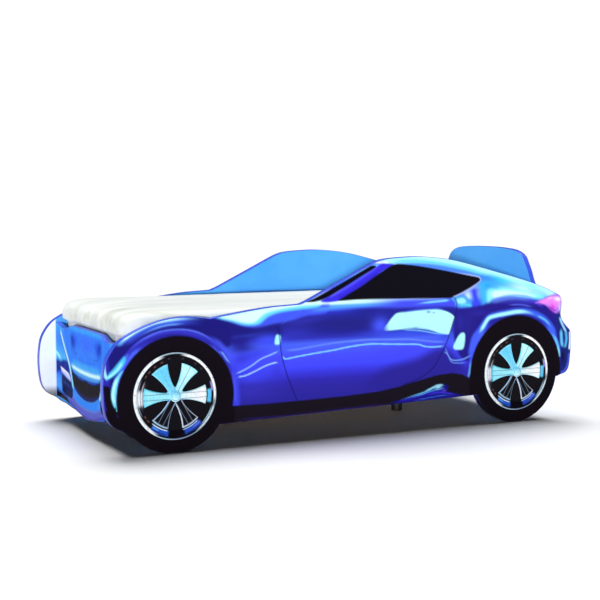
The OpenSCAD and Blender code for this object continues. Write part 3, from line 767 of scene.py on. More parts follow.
def paint_lights(art):
    """The hard-edged lights that the paint mirrors."""
    art.patch(DOOR_GLARE, "b6fffc", edge=2.5, fade=((694, 340), (726, 350)))
    art.stroke([(748, 381), (800, 389), (850, 392), (905, 392),
                (945, 380)], "4a6cf6", 4, edge=3, ends=(0.2, 0.2), strength=0.8)
    art.stroke([(760, 336), (800, 337), (850, 332),
                (892, 321)], "8cdcf8", 3, edge=2, ends=(0.3, 0.3), strength=0.8)
    art.glow((868, 383), (9, 4), "4c60e0", 0.9)
    art.glow((888, 380), (7, 3), "5f80ea", 0.8)
    art.glow((820, 334), (12, 3), "5a78ee", 0.7)
    art.patch(QUARTER_GLARE, "b0f8ff", edge=3)
    art.patch([(322, 308), (326, 330), (334, 334), (341, 328), (340, 308), (330, 304)], "a8fcff", edge=3)
    art.stroke([(755, 330), (800, 328), (850, 322), (900, 312),
                (940, 310)], "8cdcff", 3, edge=2, ends=(0.2, 0.1), strength=0.8)


def shut_lines(art):
    """The door's front and rear shut lines."""
    art.stroke([(334, 362), (337, 330), (341, 300), (346, 268), (356, 230), (370, 192), (385, 156),
                (399, 126)], "1d1866", 3, edge=1.6, ends=(0.02, 0.02))
    art.stroke([(962, 430), (973, 416), (977, 398), (972, 374), (963, 350), (952, 318), (942, 290),
                (928, 262), (912, 236), (890, 204), (860, 182), (815, 163),
                (764, 149)], "1c1860", 3.2, edge=1.6, ends=(0.02, 0.05))


def glass(art):
    """The windscreen, its pillar and the side window."""
    art.patch(PILLAR, "3a2fe0", edge=2.5)
    art.stroke([(500, 438), (560, 466), (620, 499), (676, 531),
                (700, 540)], "5a58fc", 5, edge=3.5, ends=(0.1, 0.2))
    art.stroke([(530, 434), (580, 456), (640, 491),
                (700, 526)], "241c98", 5, edge=5, ends=(0.1, 0.2), strength=0.6)
    art.patch(WINDSHIELD, "100d18", edge=2)
    art.patch(WINDOW, "121018", edge=2)
    art.stroke([(955, 426), (990, 438), (1030, 456), (1058, 471), (1068, 480), (1064, 489), (1050, 494),
                (1000, 503), (930, 517)], "b4c4ff", 3, edge=2, ends=(0.05, 0.4))


def sill(art):
    """The black sill, with its blue fin in front of the rear wheel."""
    art.patch(SILL_TOP + [(1075, 150), (1075, 60), (187, 60)], "1c1720", edge=2, curved=False)
    art.stroke([(190, 84), (400, 84), (560, 90), (700, 94),
                (760, 99)], "2e2070", 4, edge=2.5, ends=(0.1, 0.2), strength=0.9)
    art.patch([(735, 98), (780, 105), (840, 117), (880, 129), (905, 142), (938, 141), (946, 132),
               (935, 122), (990, 106), (1000, 98), (900, 92), (800, 92)], "1e1688", edge=4)
    art.stroke([(745, 98), (800, 107), (850, 116), (905, 120),
                (960, 112)], "2d20b4", 7, edge=4, ends=(0.2, 0.3))
    art.stroke([(752, 101), (805, 113), (855, 124), (892, 136),
                (925, 143)], "6cc8fa", 3, edge=1.8, ends=(0.5, 0.15))
    art.stroke([(790, 106), (840, 116), (880, 126), (915, 130),
                (938, 134)], "58a8f4", 3, edge=1.8, ends=(0.4, 0.15))
    art.stroke([(850, 124), (880, 134), (905, 143), (930, 142)], "9ce8ff", 4, edge=2, ends=(0.3, 0.15))
    art.stroke([(862, 112), (900, 119), (935, 116), (985, 105)], "4038d8", 4, edge=2.5, ends=(0.2, 0.3))
    art.stroke([(800, 97), (860, 103), (920, 108), (968, 104)], "3a6cd8", 2.4, edge=1.6, ends=(0.3, 0.3))
    art.glow((908, 137), (14, 5), "b4f2ff", 0.95, turn=14)
    art.glow((930, 124), (9, 4), "5c48e8", 0.9)


def tyres(art):
    """The tyres and the black round them."""
    for middle, radii in (ARCH_FRONT, ARCH_REAR):
        art.patch(arch(middle, radii, 0, 360, 60)[:-1], "151017", edge=2, curved=False)
    art.patch([(-190, 140), (-178, 150), (-176, 120), (0, 120), (190, 127), (190, 0), (-190, 0),
               (-215, 100)], "151017", edge=2.5, curved=False)
    art.patch([(1028, 170), (1100, 170), (1100, 0), (1028, 0)], "151017", edge=3, curved=False)


SIDE_COATS = [
    door_shades, belt_line, door_middle, door_foot, front_wing, front_arch_rim, nose_corner, bonnet_light,
    roof, haunch, rear_quarter, rear_arch_rim, tail_lamp, tail_and_bumper, body_lines, paint_lights,
    shut_lines, glass, sill, tyres,
]


def side_picture(p):
    """The print on the left side board; points are (mm behind the front axle, height)."""
    art = Print(p, "322ba2")
    for coat in SIDE_COATS:
        coat(art)
    return art.c


# ---------------------------------------------------------------- the front print


def front_shades(art):
    """The shades of the front from the lip to the bonnet edge."""
    art.bands([(84, "2c5fe0"), (100, "3f90fb"), (125, "4aa2ff"), (150, "3b84f6"), (168, "2a55dc"),
               (180, "0d2c9e"), (200, "0b2a98"), (208, "3a98ee"), (222, "50b6fb"), (240, "46a6fc"),
               (265, "3c8ffb"), (290, "3c86fc"), (318, "38a0ff"), (332, "3ca6ff"), (345, "3486f4")])


def front_corners(art):
    """The lower corners, outside the lamps."""
    art.glow((330, 130), (48, 30), "4aa0ff", 0.8)
    art.stroke([(380, 88), (330, 90), (280, 97), (220, 100),
                (160, 92)], "14248c", 9, edge=5, ends=(0, 0.3))
    art.patch([(390, 204), (300, 203), (250, 214), (206, 210), (205, 182), (240, 168), (300, 176),
               (345, 162), (390, 172)], "0b2790", edge=7)
    art.stroke([(392, 232), (345, 229), (300, 218), (272, 212)], "a6f6ff", 13, edge=5, ends=(0, 0.35))
    art.stroke([(392, 226), (345, 221), (310, 213)], "58c0f8", 8, edge=5, ends=(0, 0.4))


def front_bonnet(art):
    """The bonnet between the lamps, with two hollows."""
    art.patch([(-20, 345), (160, 345), (200, 334), (246, 318), (232, 280), (206, 236), (184, 210),
               (-20, 206)], "2f80ff", edge=9)
    art.glow((0, 288), (118, 36), "3a6eff", 0.85)
    art.glow((70, 262), (60, 16), "3f8cfa", 0.6)
    art.glow((140, 284), (34, 26), "1038cc", 1.0)
    art.glow((150, 296), (18, 12), "0a2cb4", 0.8)
    art.glow((112, 296), (22, 10), "1e50ea", 0.6)
    art.stroke([(-20, 330), (90, 331), (160, 329), (210, 318)], "3aa8ff", 16, edge=9, ends=(0, 0.3))
    art.stroke([(196, 322), (186, 296), (178, 262), (168, 232)], "3c90f4", 12, edge=8, strength=0.8)
    art.stroke([(60, 249), (110, 252), (150, 257)], "2450c8", 3, edge=2, ends=(0.5, 0.3), strength=0.8)
    art.stroke([(-30, 233), (40, 234), (110, 240),
                (160, 246)], "2e66dc", 2.5, edge=2, ends=(0, 0.4), strength=0.55)
    art.stroke([(-20, 218), (60, 219), (120, 222),
                (170, 228)], "46aefa", 14, edge=9, ends=(0, 0.3), strength=0.9)


def front_bumper(art):
    """The bumper, its black mouth and its lilac lip."""
    art.stroke([(-20, 199), (60, 200), (120, 203), (180, 210)], "5cc4fa", 22, edge=8, ends=(0, 0.15))
    art.stroke([(-20, 198), (60, 199), (120, 202), (172, 207)], "d8feff", 11, edge=5, ends=(0, 0.2))
    art.stroke([(-20, 184), (60, 185), (120, 190), (160, 196)], "4aa6f8", 9, edge=6, ends=(0, 0.2))
    art.patch([(-30, 171), (50, 172), (100, 176), (140, 183), (156, 184), (154, 160), (136, 139),
               (90, 122), (40, 114), (-30, 112)], "0a0716", edge=4)
    art.stroke([(-30, 119), (40, 121), (90, 129),
                (136, 146)], "16206e", 9, edge=8, ends=(0, 0.1), strength=0.9)
    art.patch([(-30, 109), (40, 111), (90, 119), (140, 138), (160, 128), (170, 108), (120, 94), (50, 86),
               (-30, 84)], "2f8cff", edge=5)
    art.glow((140, 112), (30, 12), "5c96ff", 0.6)
    art.patch([(-30, 86), (50, 88), (100, 94), (150, 104), (200, 108), (230, 100), (170, 84), (90, 66),
               (-30, 60)], "5e66cc", edge=5)
    art.stroke([(-30, 84), (60, 86), (110, 94),
                (160, 103)], "6a8ce8", 5, edge=4, ends=(0, 0.3), strength=0.7)
    art.stroke([(-30, 59), (60, 61), (110, 70), (170, 84), (220, 92)], "5a40b4", 5, edge=3, ends=(0, 0.2))


def front_under_edge(art):
    """The dark edge under the corners."""
    art.patch([(400, 118), (350, 108), (300, 99), (255, 95), (215, 91), (190, 60),
               (400, 40)], "0c0a16", edge=5)
    art.stroke([(392, 122), (345, 111), (300, 103), (255, 98),
                (218, 95)], "3c44b0", 5, edge=4, ends=(0, 0.3), strength=0.9)


BEAD = ((-2, 0), (2, 0), (2, 1.1), (-2, 1.1))


def front_lamps(art):
    """The low lamps, and the long beaded lamps that lean inwards."""
    art.patch([(151, 152), (158, 148), (215, 157), (280, 166), (282, 140), (276, 106), (220, 98),
               (165, 96), (150, 108)], "06154e", edge=3.5, curved=False)
    art.stroke([(278, 166), (284, 140), (278, 104)], "2a62d8", 5, edge=4, strength=0.8)
    art.stroke([(158, 128), (210, 136), (268, 142)], "14389c", 8, edge=6, strength=0.7)
    art.patch([(196, 176), (230, 180), (297, 189), (284, 172), (230, 160), (158, 149),
               (166, 160)], "cfd4ff", edge=2, curved=False)
    art.stroke([(200, 172), (240, 178), (292, 186)], "f4f2ff", 6, edge=3, ends=(0.1, 0.2))
    art.stroke([(165, 152), (220, 160), (276, 169)], "7c9af0", 4, edge=2.5, strength=0.9)
    lamp = [
        (300, 317), (268, 284), (236, 252), (206, 226), (184, 204), (168, 178), (154, 152), (140, 128),
    ]
    art.stroke([(x + 9, z - 1) for x, z in lamp], "2a6ae0", 14, edge=5, ends=(0.1, 0.1), strength=0.9)
    art.stroke(lamp, "9ae4fc", 15, edge=2.5, ends=(0.08, 0.05))
    line = smooth(lamp)
    for i in range(3, len(line) - 12, 2):
        along = line[i + 1] - line[i]
        across = np.array([-along[1], along[0]]) / np.linalg.norm(along)
        for side, shade in ((2.6, "ffffff"), (-2.8, "dff8ff" if i % 4 else "3a6cc4")):
            bead = [line[i] + across * (side + s) + along * t for s, t in BEAD]
            art.patch(bead, shade, edge=1.2, curved=False)
    art.stroke([(x - 7, z + 2) for x, z in lamp], "2458c0", 2.5, edge=2, ends=(0.1, 0.1), strength=0.8)


FRONT_COATS = [front_shades, front_corners, front_bonnet, front_bumper, front_under_edge, front_lamps]


def front_picture(p):
    """The print on the front board; points are (mm from the middle, height), drawn for one half."""
    art = Print(p, "3f96fb")
    for coat in FRONT_COATS:
        coat(art)
    return art.c


# ---------------------------------------------------------------- printed films


def cut_fine(bm, cell):
    """Cuts the outer face of a film, which points to -y, into cells of this size."""
    outer = min(v.co.y for v in bm.verts)
    faces = [f for f in bm.faces if f.normal.y < -0.9 and abs(f.calc_center_median().y - outer) < WELD]
    geom = faces + list({e for f in faces for e in f.edges}) + list({v for f in faces for v in f.verts})
    for axis in (0, 2):
        places = [v.co[axis] for v in bm.verts]
        low, high = min(places), max(places)
        normal = Vector([float(i == axis) for i in range(3)])
        cuts = int((high - low) / cell)
        for i in range(1, cuts):
            at = normal * (low + (high - low) * i / cuts)
            geom = bmesh.ops.bisect_plane(bm, geom=geom, dist=WELD / 20, plane_co=at, plane_no=normal)["geom"]


def side_film_pieces():
    """Both side films: one is cut and painted, and the other is its mirror image."""
    bm = joined_copy("left_side_film")
    cut_fine(bm, FILM_CELL)
    mark_sharp(bm)
    scale = drawn_scale * MM
    drawn = [((v.co.x - front_axle.x) / scale, v.co.z / scale) for v in bm.verts]
    colour_points(bm, side_picture(np.array(drawn)))
    other = bm.copy()
    bmesh.ops.scale(other, vec=(1, -1, 1), verts=other.verts)
    bmesh.ops.recalc_face_normals(other, faces=other.faces)
    piece("left_side_print", bm, "printed_film", ("left_side_film",))
    piece("right_side_print", other, "printed_film", ("right_side_film",))


def front_film_piece():
    """The film on the front board. It's turned to face -y while it is cut."""
    bm = joined_copy("front_film")
    quarter = Matrix.Rotation(math.radians(90), 3, "Z")
    bmesh.ops.rotate(bm, cent=(0, 0, 0), matrix=quarter, verts=bm.verts)
    cut_fine(bm, FRONT_CELL)
    bmesh.ops.rotate(bm, cent=(0, 0, 0), matrix=quarter.inverted(), verts=bm.verts)
    mark_sharp(bm)
    across = DRAWN_WIDTH / (2 * outer_y)
    drawn = [(abs(v.co.y) * across, v.co.z / (drawn_scale * MM)) for v in bm.verts]
    colour_points(bm, front_picture(np.array(drawn)))
    piece("front_print", bm, "printed_film", ("front_film",))


# ---------------------------------------------------------------- wheel covers


def wheel_picture(p):
    """The painted reflections on a cover's dish and rim, in mm from its middle: x back along the bed, y up.
    """
    art = Print(p, "0e0b12")
    radius = np.hypot(p[:, 0], p[:, 1])
    angle = np.degrees(np.arctan2(p[:, 1], p[:, 0])) % 360

    def ring(r, width, colour, start=0, stop=360, soft=14.0, strength=1.0):
        turn = (angle - start) % 360
        span = (stop - start) % 360 or 360
        along = 1 if span == 360 else step(turn / soft) * step((span - turn) / soft) * (turn < span)
        across = step((width / 2 - abs(radius - r)) / 1.6 + 0.5)
        art.lay(slice(None), srgb(colour), along * across * strength)

    # Painted reflections: the lip is bright round most of its turn and darker near the top and the bottom,
    # with painted glints, brown specks and dark ticks, and a painted shade round the hub.
    ring(128.6, 3, "c0dcec")
    ring(124.8, 10, "f6fcff", 104, 246)
    ring(125.4, 8, "ffffff", 346, 84)
    ring(125.0, 4, "e6f5fd", 298, 352)
    ring(120.4, 1.6, "bfe0f4", 306, 346)
    ring(127.4, 3, "7c90c0", 256, 304, strength=0.8)
    ring(113, 22, "fafcff", 166, 196, soft=8)
    ring(116, 3, "9aa4bc", 150, 212, strength=0.8)
    ring(108, 2.4, "58607c", 158, 206, strength=0.8)
    ring(104, 3, "e8dce4", 150, 200, strength=0.7)
    ring(110, 12, "60c4ee", 346, 9, soft=3)
    ring(116, 2, "1c5080", 342, 12)
    ring(119, 6, "9c94d8", 3, 20, soft=4, strength=0.9)
    ring(113, 17, "2a5cd0", 229, 260, soft=3)
    ring(113, 15, "2c52c8", 284, 316, soft=3)
    ring(105, 3.2, "dff4ff", 226, 258, soft=4)
    ring(105, 2.6, "b8d8ff", 282, 314, soft=4)
    ring(112, 4, "5ca8f0", 229, 244, soft=4)
    ring(112, 3, "7080f0", 298, 316, soft=4)
    ring(117, 2, "0e1440", 232, 256, soft=3, strength=0.8)
    ring(119, 2, "0e1440", 286, 312, soft=3, strength=0.8)
    for start in (108, 121, 133, 142, 208, 216):
        ring(109, 5, "7c5850", start, start + 7, soft=3, strength=0.6)
    for start in (96, 74, 52, 40):
        ring(113, 4, "4c4658", start, start + 6, soft=3, strength=0.6)
    for start in range(4, 360, 17):
        ring(126, 3, "38506a", start, start + 2.4, soft=1.0, strength=0.75)
    ring(24, 10, "34406c", strength=0.6)
    return art.c


# Painted light for each spoke by its angle, as (face, outline): the upper and level spokes are painted
# bright, the two lower ones painted dark, and each has a bright painted outline.
SPOKE_PAINTED_LIGHT = {
    0: ("fbfdff", "c8f4fc"),
    60: ("c4f8fd", "9af0fc"),
    120: ("6cd2fb", "8ce2fc"),
    180: ("9cecfa", "74def8"),
    240: ("0e0b12", "b4d8f4"),
    300: ("0e0b12", "d8e6f8"),
}
SPOKE_START, SPOKE_NECK, SPOKE_END = 13.0, 27.0, 95.0
SPOKE_WAIST, SPOKE_FLARE = 11.5, 28.5
SPOKE_TOP = 6.2
GROOVE = 0.8
DISH_DEPTH = 1.4
NUT_CIRCLE = 25


def spoke_half_width(r):
    """Half the width of a spoke at this distance from the middle, in mm."""
    t = max(0.0, (r - SPOKE_NECK) / (SPOKE_END - SPOKE_NECK))
    return SPOKE_WAIST + (SPOKE_FLARE - SPOKE_WAIST) * t**1.8


def rim_share(s, t, half):
    """How far a point of a spoke belongs to its painted bright outline, 0 to 1."""
    side_rim = step(np.array((abs(s) * half - half + 3.2) / 1.6)).item()
    end_rim = step(np.array((t - 0.94) / 0.04)).item()
    return max(side_rim, end_rim)


def spoke(angle, rows=30, columns=44):
    """One flared spoke: a gridded blade with two fine grooves, rounded sides and its own painted light and
    shade.
    """
    bm = bmesh.new()
    bmesh.ops.create_grid(bm, x_segments=rows, y_segments=columns, size=0.5)
    grid = [(v, v.co.x + 0.5, v.co.y * 2) for v in bm.verts]
    face, edge = (srgb(code) for code in SPOKE_PAINTED_LIGHT[angle])
    spoke_in_painted_shade = angle > 200
    groove_places = (0.0,) if angle in (60, 120) else (-8.0, 8.0)
    turn = Matrix.Rotation(-math.radians(angle), 3, "Y")
    colours = {}
    for vert, t, s in grid:
        r = SPOKE_START + (SPOKE_END - SPOKE_START) * t
        half = spoke_half_width(r)
        gap = min(abs(s * half - place) for place in groove_places)
        groove = math.exp(-((gap / GROOVE) ** 2)) * (0.35 if angle == 120 else 1.0)
        side = step(np.array((abs(s) - 0.84) / 0.16)).item()
        height = SPOKE_TOP - 0.7 * t - 2.6 * side - 0.7 * groove
        bow = 4.0 * (1 - s * s) * t
        vert.co = turn @ Vector(((r + bow) * MM, -height * MM, half * s * MM))
        rim = rim_share(s, t, half)
        shade = face * (1 - rim) + edge * rim
        # Painted light: the lower spokes get painted highlights in their grooves; the others get a painted
        # sheen at the root and painted shade in their grooves.
        if spoke_in_painted_shade:
            shade = shade * (1 - 0.7 * groove) + srgb("8fa8c8") * 0.7 * groove
        else:
            root = 0.5 * (1 - t) ** 2
            shade = shade * (1 - root) + srgb("9cecfc") * root
            shade = shade * (1 - groove * 0.85) + srgb("183250") * groove * 0.85
        colours[vert] = shade
    colour_points(bm, np.array([colours[v] for v in bm.verts]))
    skirt = bmesh.ops.extrude_edge_only(bm, edges=[e for e in bm.edges if e.is_boundary])["geom"]
    for vert in (g for g in skirt if isinstance(g, bmesh.types.BMVert)):
        vert.co.y = -DISH_DEPTH * 0.6 * MM
    bmesh.ops.holes_fill(bm, edges=[e for e in bm.edges if e.is_boundary])
    bmesh.ops.recalc_face_normals(bm, faces=bm.faces)
    return bm


def placed_on_wheel(bm, wheel):
    """Moves a piece drawn at the middle of a left-hand cover to its wheel; right-hand ones are mirrored."""
    at = middle(f"{wheel}_wheel_cover")
    if wheel.endswith("right"):
        bmesh.ops.scale(bm, vec=(1, -1, 1), verts=bm.verts)
        bmesh.ops.reverse_faces(bm, faces=bm.faces)
    side = 1 if wheel.endswith("right") else -1
    bmesh.ops.translate(bm, vec=(at.x, side * outer_y, at.z), verts=bm.verts)
    mark_sharp(bm)
    return bm


def merged(parts):
    """Several bmeshes as one."""
    mesh = bpy.data.meshes.new("part")
    whole = bmesh.new()
    whole.verts.layers.float_color.new("print")
    for part in parts:
        part.to_mesh(mesh)
        part.free()
        whole.from_mesh(mesh)
    bpy.data.meshes.remove(mesh)
    return whole


def wheel_dish():
    """The black dish and bright rim of a cover, turned as one shell with a rounded lip."""
    bm = bmesh.new()
    profile = [(0, DISH_DEPTH)]
    profile += [(r, DISH_DEPTH) for r in range(20, 104, 12)]
    profile += [(r, DISH_DEPTH + 0.12 * (r - 102)) for r in range(102, 119)]
    profile += [(119, 3.4), (120, 5.2), (121, 6.6), (122.4, 7.4), (124, 7.8), (125.5, 8.0)]
    profile += [(127, 7.9), (128.4, 7.4), (129.6, 6.4), (130.5, 5.0), (130.9, 3.2), (131, 0.1), (0, 0.1)]
    lathe(bm, [(r * MM, h * MM) for r, h in profile], steps=240)
    bmesh.ops.recalc_face_normals(bm, faces=bm.faces)
    colour_points(bm, wheel_picture(np.array([(v.co.x, v.co.z) for v in bm.verts]) / MM))
    return bm


def lug_nuts():
    """Six small domed nuts between the roots of the spokes."""
    nuts = []
    for i in range(6):
        bm = bmesh.new()
        profile = [(0, 6.6), (1.6, 6.3), (2.6, 5.4), (3.2, 4.0), (3.2, 1.2), (0, 1.2)]
        lathe(bm, [(r * MM, h * MM) for r, h in profile], steps=14)
        bmesh.ops.recalc_face_normals(bm, faces=bm.faces)
        angle = math.radians(30 + 60 * i)
        out = NUT_CIRCLE * MM
        bmesh.ops.translate(bm, vec=(out * math.cos(angle), 0, out * math.sin(angle)), verts=bm.verts)
        # Painted light: the three upper nuts are painted lit, the three lower ones painted in shade.
        shade = srgb("9fd8f4") if i < 3 else srgb("4868a8")
        colour_points(bm, np.tile(shade, (len(bm.verts), 1)))
        nuts.append(bm)
    return nuts


def hub_cap():
    """A shallow domed cap with a raised ring, with a painted reflection and painted shade in its groove."""
    bm = bmesh.new()
    profile = [(0, 11.2), (6, 11.0), (11, 10.2), (12.6, 9.4), (13.2, 10.2)]
    profile += [(15.2, 10.4), (16.6, 9.2), (17, 7.4), (17, 5), (0, 5)]
    lathe(bm, [(r * MM, h * MM) for r, h in profile], steps=48)
    bmesh.ops.recalc_face_normals(bm, faces=bm.faces)
    radius = np.array([math.hypot(v.co.x, v.co.z) / MM for v in bm.verts])
    height = np.array([v.co.z / MM for v in bm.verts])
    # Painted reflection: paler towards the bottom and bluer towards the top; painted shade in the groove
    # inside the raised ring.
    blend = step(height / 34 + 0.5)[:, None]
    shade = srgb("d0fbff") * (1 - blend) + srgb("86dcfb") * blend
    groove = 0.7 * np.exp(-(((radius - 12.6) / 0.7) ** 2))[:, None]
    colour_points(bm, shade * (1 - groove) + srgb("3f88b4") * groove)
    return bm


def wheel_pieces():
    """Every wheel's cover, with its dish, spokes and nuts, and its cap."""
    for wheel in WHEELS:
        cover = merged([wheel_dish(), *(spoke(angle) for angle in SPOKE_PAINTED_LIGHT), *lug_nuts()])
        piece(f"{wheel}_cover", placed_on_wheel(cover, wheel), "chrome_trim", (f"{wheel}_wheel_cover",))
        piece(f"{wheel}_cap", placed_on_wheel(hub_cap(), wheel), "chrome_cap", (f"{wheel}_hub_cap",))


# ---------------------------------------------------------------- mattress and sheet

FOAM_CORNER = 45 * MM
FOAM_EDGE = 26 * MM
FOAM_VOXEL = 14 * MM
FOAM_SHRINK = 4 * MM
FOAM_SWELL = 6 * MM
SWELL_PRESSURE = 4.0
SWELL_FRAMES = 20
SHEET_GAP = 1.2 * MM
SHEET_THICKNESS = 0.8 * MM
HEM = 70 * MM
FRONT_DROP = 3 * MM
FRONT_REACH = 160 * MM
SIDE_REACH = 100 * MM
FRONT_ROLL = 46 * MM
SIDE_ROLL = 30 * MM
OVERHANG = 19 * MM


def foam_block():
    """The mattress before it swells: a block with round corners, a little smaller than its CAD solid."""
    low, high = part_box("mattress")
    size = high - low - Vector((2, 2, 2)) * FOAM_SHRINK
    bm = bmesh.new()
    bmesh.ops.create_cube(bm, size=1)
    bmesh.ops.scale(bm, vec=size, verts=bm.verts)
    uprights = [e for e in bm.edges if abs(e.verts[0].co.z - e.verts[1].co.z) > size.z / 2]
    bmesh.ops.bevel(
        bm, geom=uprights, offset=FOAM_CORNER, segments=8, profile=0.5, affect="EDGES", material=-1
    )
    ease(bm, FOAM_EDGE, 5)
    bmesh.ops.translate(bm, vec=(low + high) / 2, verts=bm.verts)
    return bm


def swell(made):
    """Lets the padding push its cover out, and stops every point within a cap."""
    start = np.array([v.co for v in made.data.vertices])
    cloth = made.modifiers.new("padding", "CLOTH")
    cloth.settings.use_pressure = True
    cloth.settings.uniform_pressure_force = SWELL_PRESSURE
    cloth.settings.quality = 4
    cloth.settings.effector_weights.gravity = 0
    cloth.point_cache.frame_start, cloth.point_cache.frame_end = 1, SWELL_FRAMES
    for number in range(1, SWELL_FRAMES + 1):
        bpy.context.scene.frame_set(number)
    shaped = made.evaluated_get(bpy.context.evaluated_depsgraph_get()).data
    moved = np.array([v.co for v in shaped.vertices]) - start
    made.modifiers.remove(cloth)
    bpy.context.scene.frame_set(1)
    far = np.linalg.norm(moved, axis=1, keepdims=True)
    moved *= np.minimum(1, FOAM_SWELL / np.maximum(far, 1e-9))
    made.data.vertices.foreach_set("co", (start + moved).astype(np.float32).ravel())
    made.data.update()


def keep_modifiers(made):
    """Applies every modifier, so that the mesh is what shows."""
    shaped = bpy.data.meshes.new_from_object(made.evaluated_get(bpy.context.evaluated_depsgraph_get()))
    made.modifiers.clear()
    made.data = shaped


def front_slope(x, low):
    """How far the top has sloped down at this place along the bed."""
    return FRONT_DROP * math.exp(-(x - low.x) / FRONT_REACH)


def round_over(made, low, high):
    """Rolls the top edges over, most of all at the front, and lets the front third slope down a little."""
    for vert in made.data.vertices:
        co = vert.co
        co.z -= front_slope(co.x, low) * max(0.0, (co.z - low.z) / (high.z - low.z))
        front = (co.x - low.x, FRONT_ROLL, 0, -1)
        sides = ((high.y - co.y, SIDE_ROLL, 1, 1), (co.y - low.y, SIDE_ROLL, 1, -1))
        for inward, roll, axis, sign in (front, *sides):
            below = high.z - front_slope(co.x, low) - co.z
            if inward < roll and below < roll:
                out, up = roll - inward, roll - below
                far = math.hypot(out, up)
                if far > roll:
                    co[axis] += sign * (out * roll / far - out)
                    co.z += up * roll / far - up


def mattress_piece():
    """The padded mattress, swollen and rolled over at its edges."""
    bm = foam_block()
    made = piece("mattress_pad", bm, "mattress_foam", ("mattress",))
    remesh = made.modifiers.new("even", "REMESH")
    remesh.mode, remesh.voxel_size = "VOXEL", FOAM_VOXEL
    keep_modifiers(made)
    swell(made)
    round_over(made, *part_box("mattress"))
    return made


def overhang(co, low, board_top):
    """How far the soft front of the cover bulges over the front board, in metres."""
    near_front = step(np.array((low.x + FRONT_ROLL - co.x) / FRONT_ROLL)).item()
    above_board = step(np.array((co.z - board_top - 2 * MM) / (14 * MM))).item()
    return OVERHANG * near_front * above_board


def wrinkle(co, top, low, high):
    """How far the sheet stands off the mattress at a point, in metres, and its painted shade, 0 in a fold to
    1; the sides are painted darker than the top.
    """
    x, y, z = co
    from_front = (x - low.x) / (high.x - low.x)
    from_side = min(y - low.y, high.y - y)
    on_top = step(np.array((z - (top - 42 * MM)) / (30 * MM))).item()
    warp = noise.noise((x * 2.3, y * 4.1, 0.4))
    long_folds = abs(noise.noise((x * 1.1 + warp * 0.2, y * 11 + warp * 0.7 + x * 0.8, 7.1)))
    fine_folds = abs(noise.noise((x * 2.6 + warp * 0.3, y * 30 - x * 1.5 + warp * 0.9, 2.7)))
    pull = math.exp(-from_side / SIDE_REACH) + 0.8 * math.exp(-from_front * 1.5 / FRONT_REACH)
    fold_line = max(0.0, 1 - long_folds * 5.0) * (0.45 + 0.55 * min(1.0, pull))
    fold_line += 0.35 * max(0.0, 1 - fine_folds * 6.0)
    crumple = noise.fractal((x * 34, y * 30, z * 34), 0.8, 2.1, 4) * 0.5 + 0.5
    puckers = abs(noise.noise((x * 22, y * 22, z * 18 + 2.0)))
    side_form = 3.2 * crumple + 2.2 * puckers
    top_form = 2.2 * fold_line + 1.1 * (noise.noise((x * 9, y * 13, 3.3)) * 0.5 + 0.5)
    streak = noise.noise((x * 1.6 + warp * 0.3, y * 16 - x * 2.0, 5.5)) * 0.5 + 0.5
    # Painted shade: the top is darkened along its folds and streaks, and the sides are painted darker, with
    # painted shade among their crumples.
    shade_top = 0.95 - 0.55 * fold_line + 0.15 * warp - 0.45 * max(0.0, streak - 0.5)
    shade_side = 0.15 + 0.75 * crumple
    depth = on_top * top_form + (1 - on_top) * side_form
    return depth * MM, min(1.0, max(0.0, on_top * shade_top + (1 - on_top) * shade_side))


def sheet_piece(mattress):
    """The fitted sheet: over the top, down the sides and under the edge, with its folds."""
    low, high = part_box("mattress")
    top = max(v.co.z for v in mattress.data.vertices)
    board_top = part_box("front_board")[1].z
    bm = bmesh.new()
    bm.from_mesh(mattress.data)
    bottom = min(v.co.z for v in bm.verts)
    hidden = [
        v for v in bm.verts
        if v.co.z < bottom + 4 * MM and low.x + HEM < v.co.x < high.x - HEM and abs(v.co.y) < high.y - HEM
    ]
    bmesh.ops.delete(bm, geom=hidden, context="VERTS")
    bmesh.ops.subdivide_edges(bm, edges=bm.edges, cuts=1, use_grid_fill=True, smooth=0.0)
    every_way = {"use_axis_x": True, "use_axis_y": True, "use_axis_z": True}
    bmesh.ops.smooth_vert(bm, verts=bm.verts, factor=0.5, **every_way)
    bm.normal_update()
    fold = bm.verts.layers.float.new("fold")
    moves = []
    for vert in bm.verts:
        off, depth = wrinkle(vert.co, top, low, high)
        # The fold attribute carries the painted shade of the sheet's folds, streaks and sides.
        vert[fold] = depth
        above_hem = step(np.array((vert.co.z - bottom) / (20 * MM))).item()
        moves.append(vert.normal * (SHEET_GAP + off * above_hem))
    for vert, move in zip(bm.verts, moves):
        vert.co += move
        vert.co.x -= overhang(vert.co, low, board_top)
    for face in bm.faces:
        face.smooth = True
    made = piece("fitted_sheet_cotton", bm, "white_sheet", ("fitted_sheet",))
    skin = made.modifiers.new("thickness", "SOLIDIFY")
    skin.thickness, skin.offset = SHEET_THICKNESS, 1.0
    keep_modifiers(made)
    return made


# ---------------------------------------------------------------- boards, slats and fittings

BOARD_EDGE, BAND_EDGE = 0.5 * MM, 0.35 * MM
TIMBER_EDGE, SLAT_EDGE = 1.5 * MM, 2.0 * MM
LEG_EDGE, LEG_GLIDE_EDGE, TYRE_GLIDE_EDGE = 1.0 * MM, 0.8 * MM, 0.6 * MM
HANGER_EDGE = 0.4 * MM


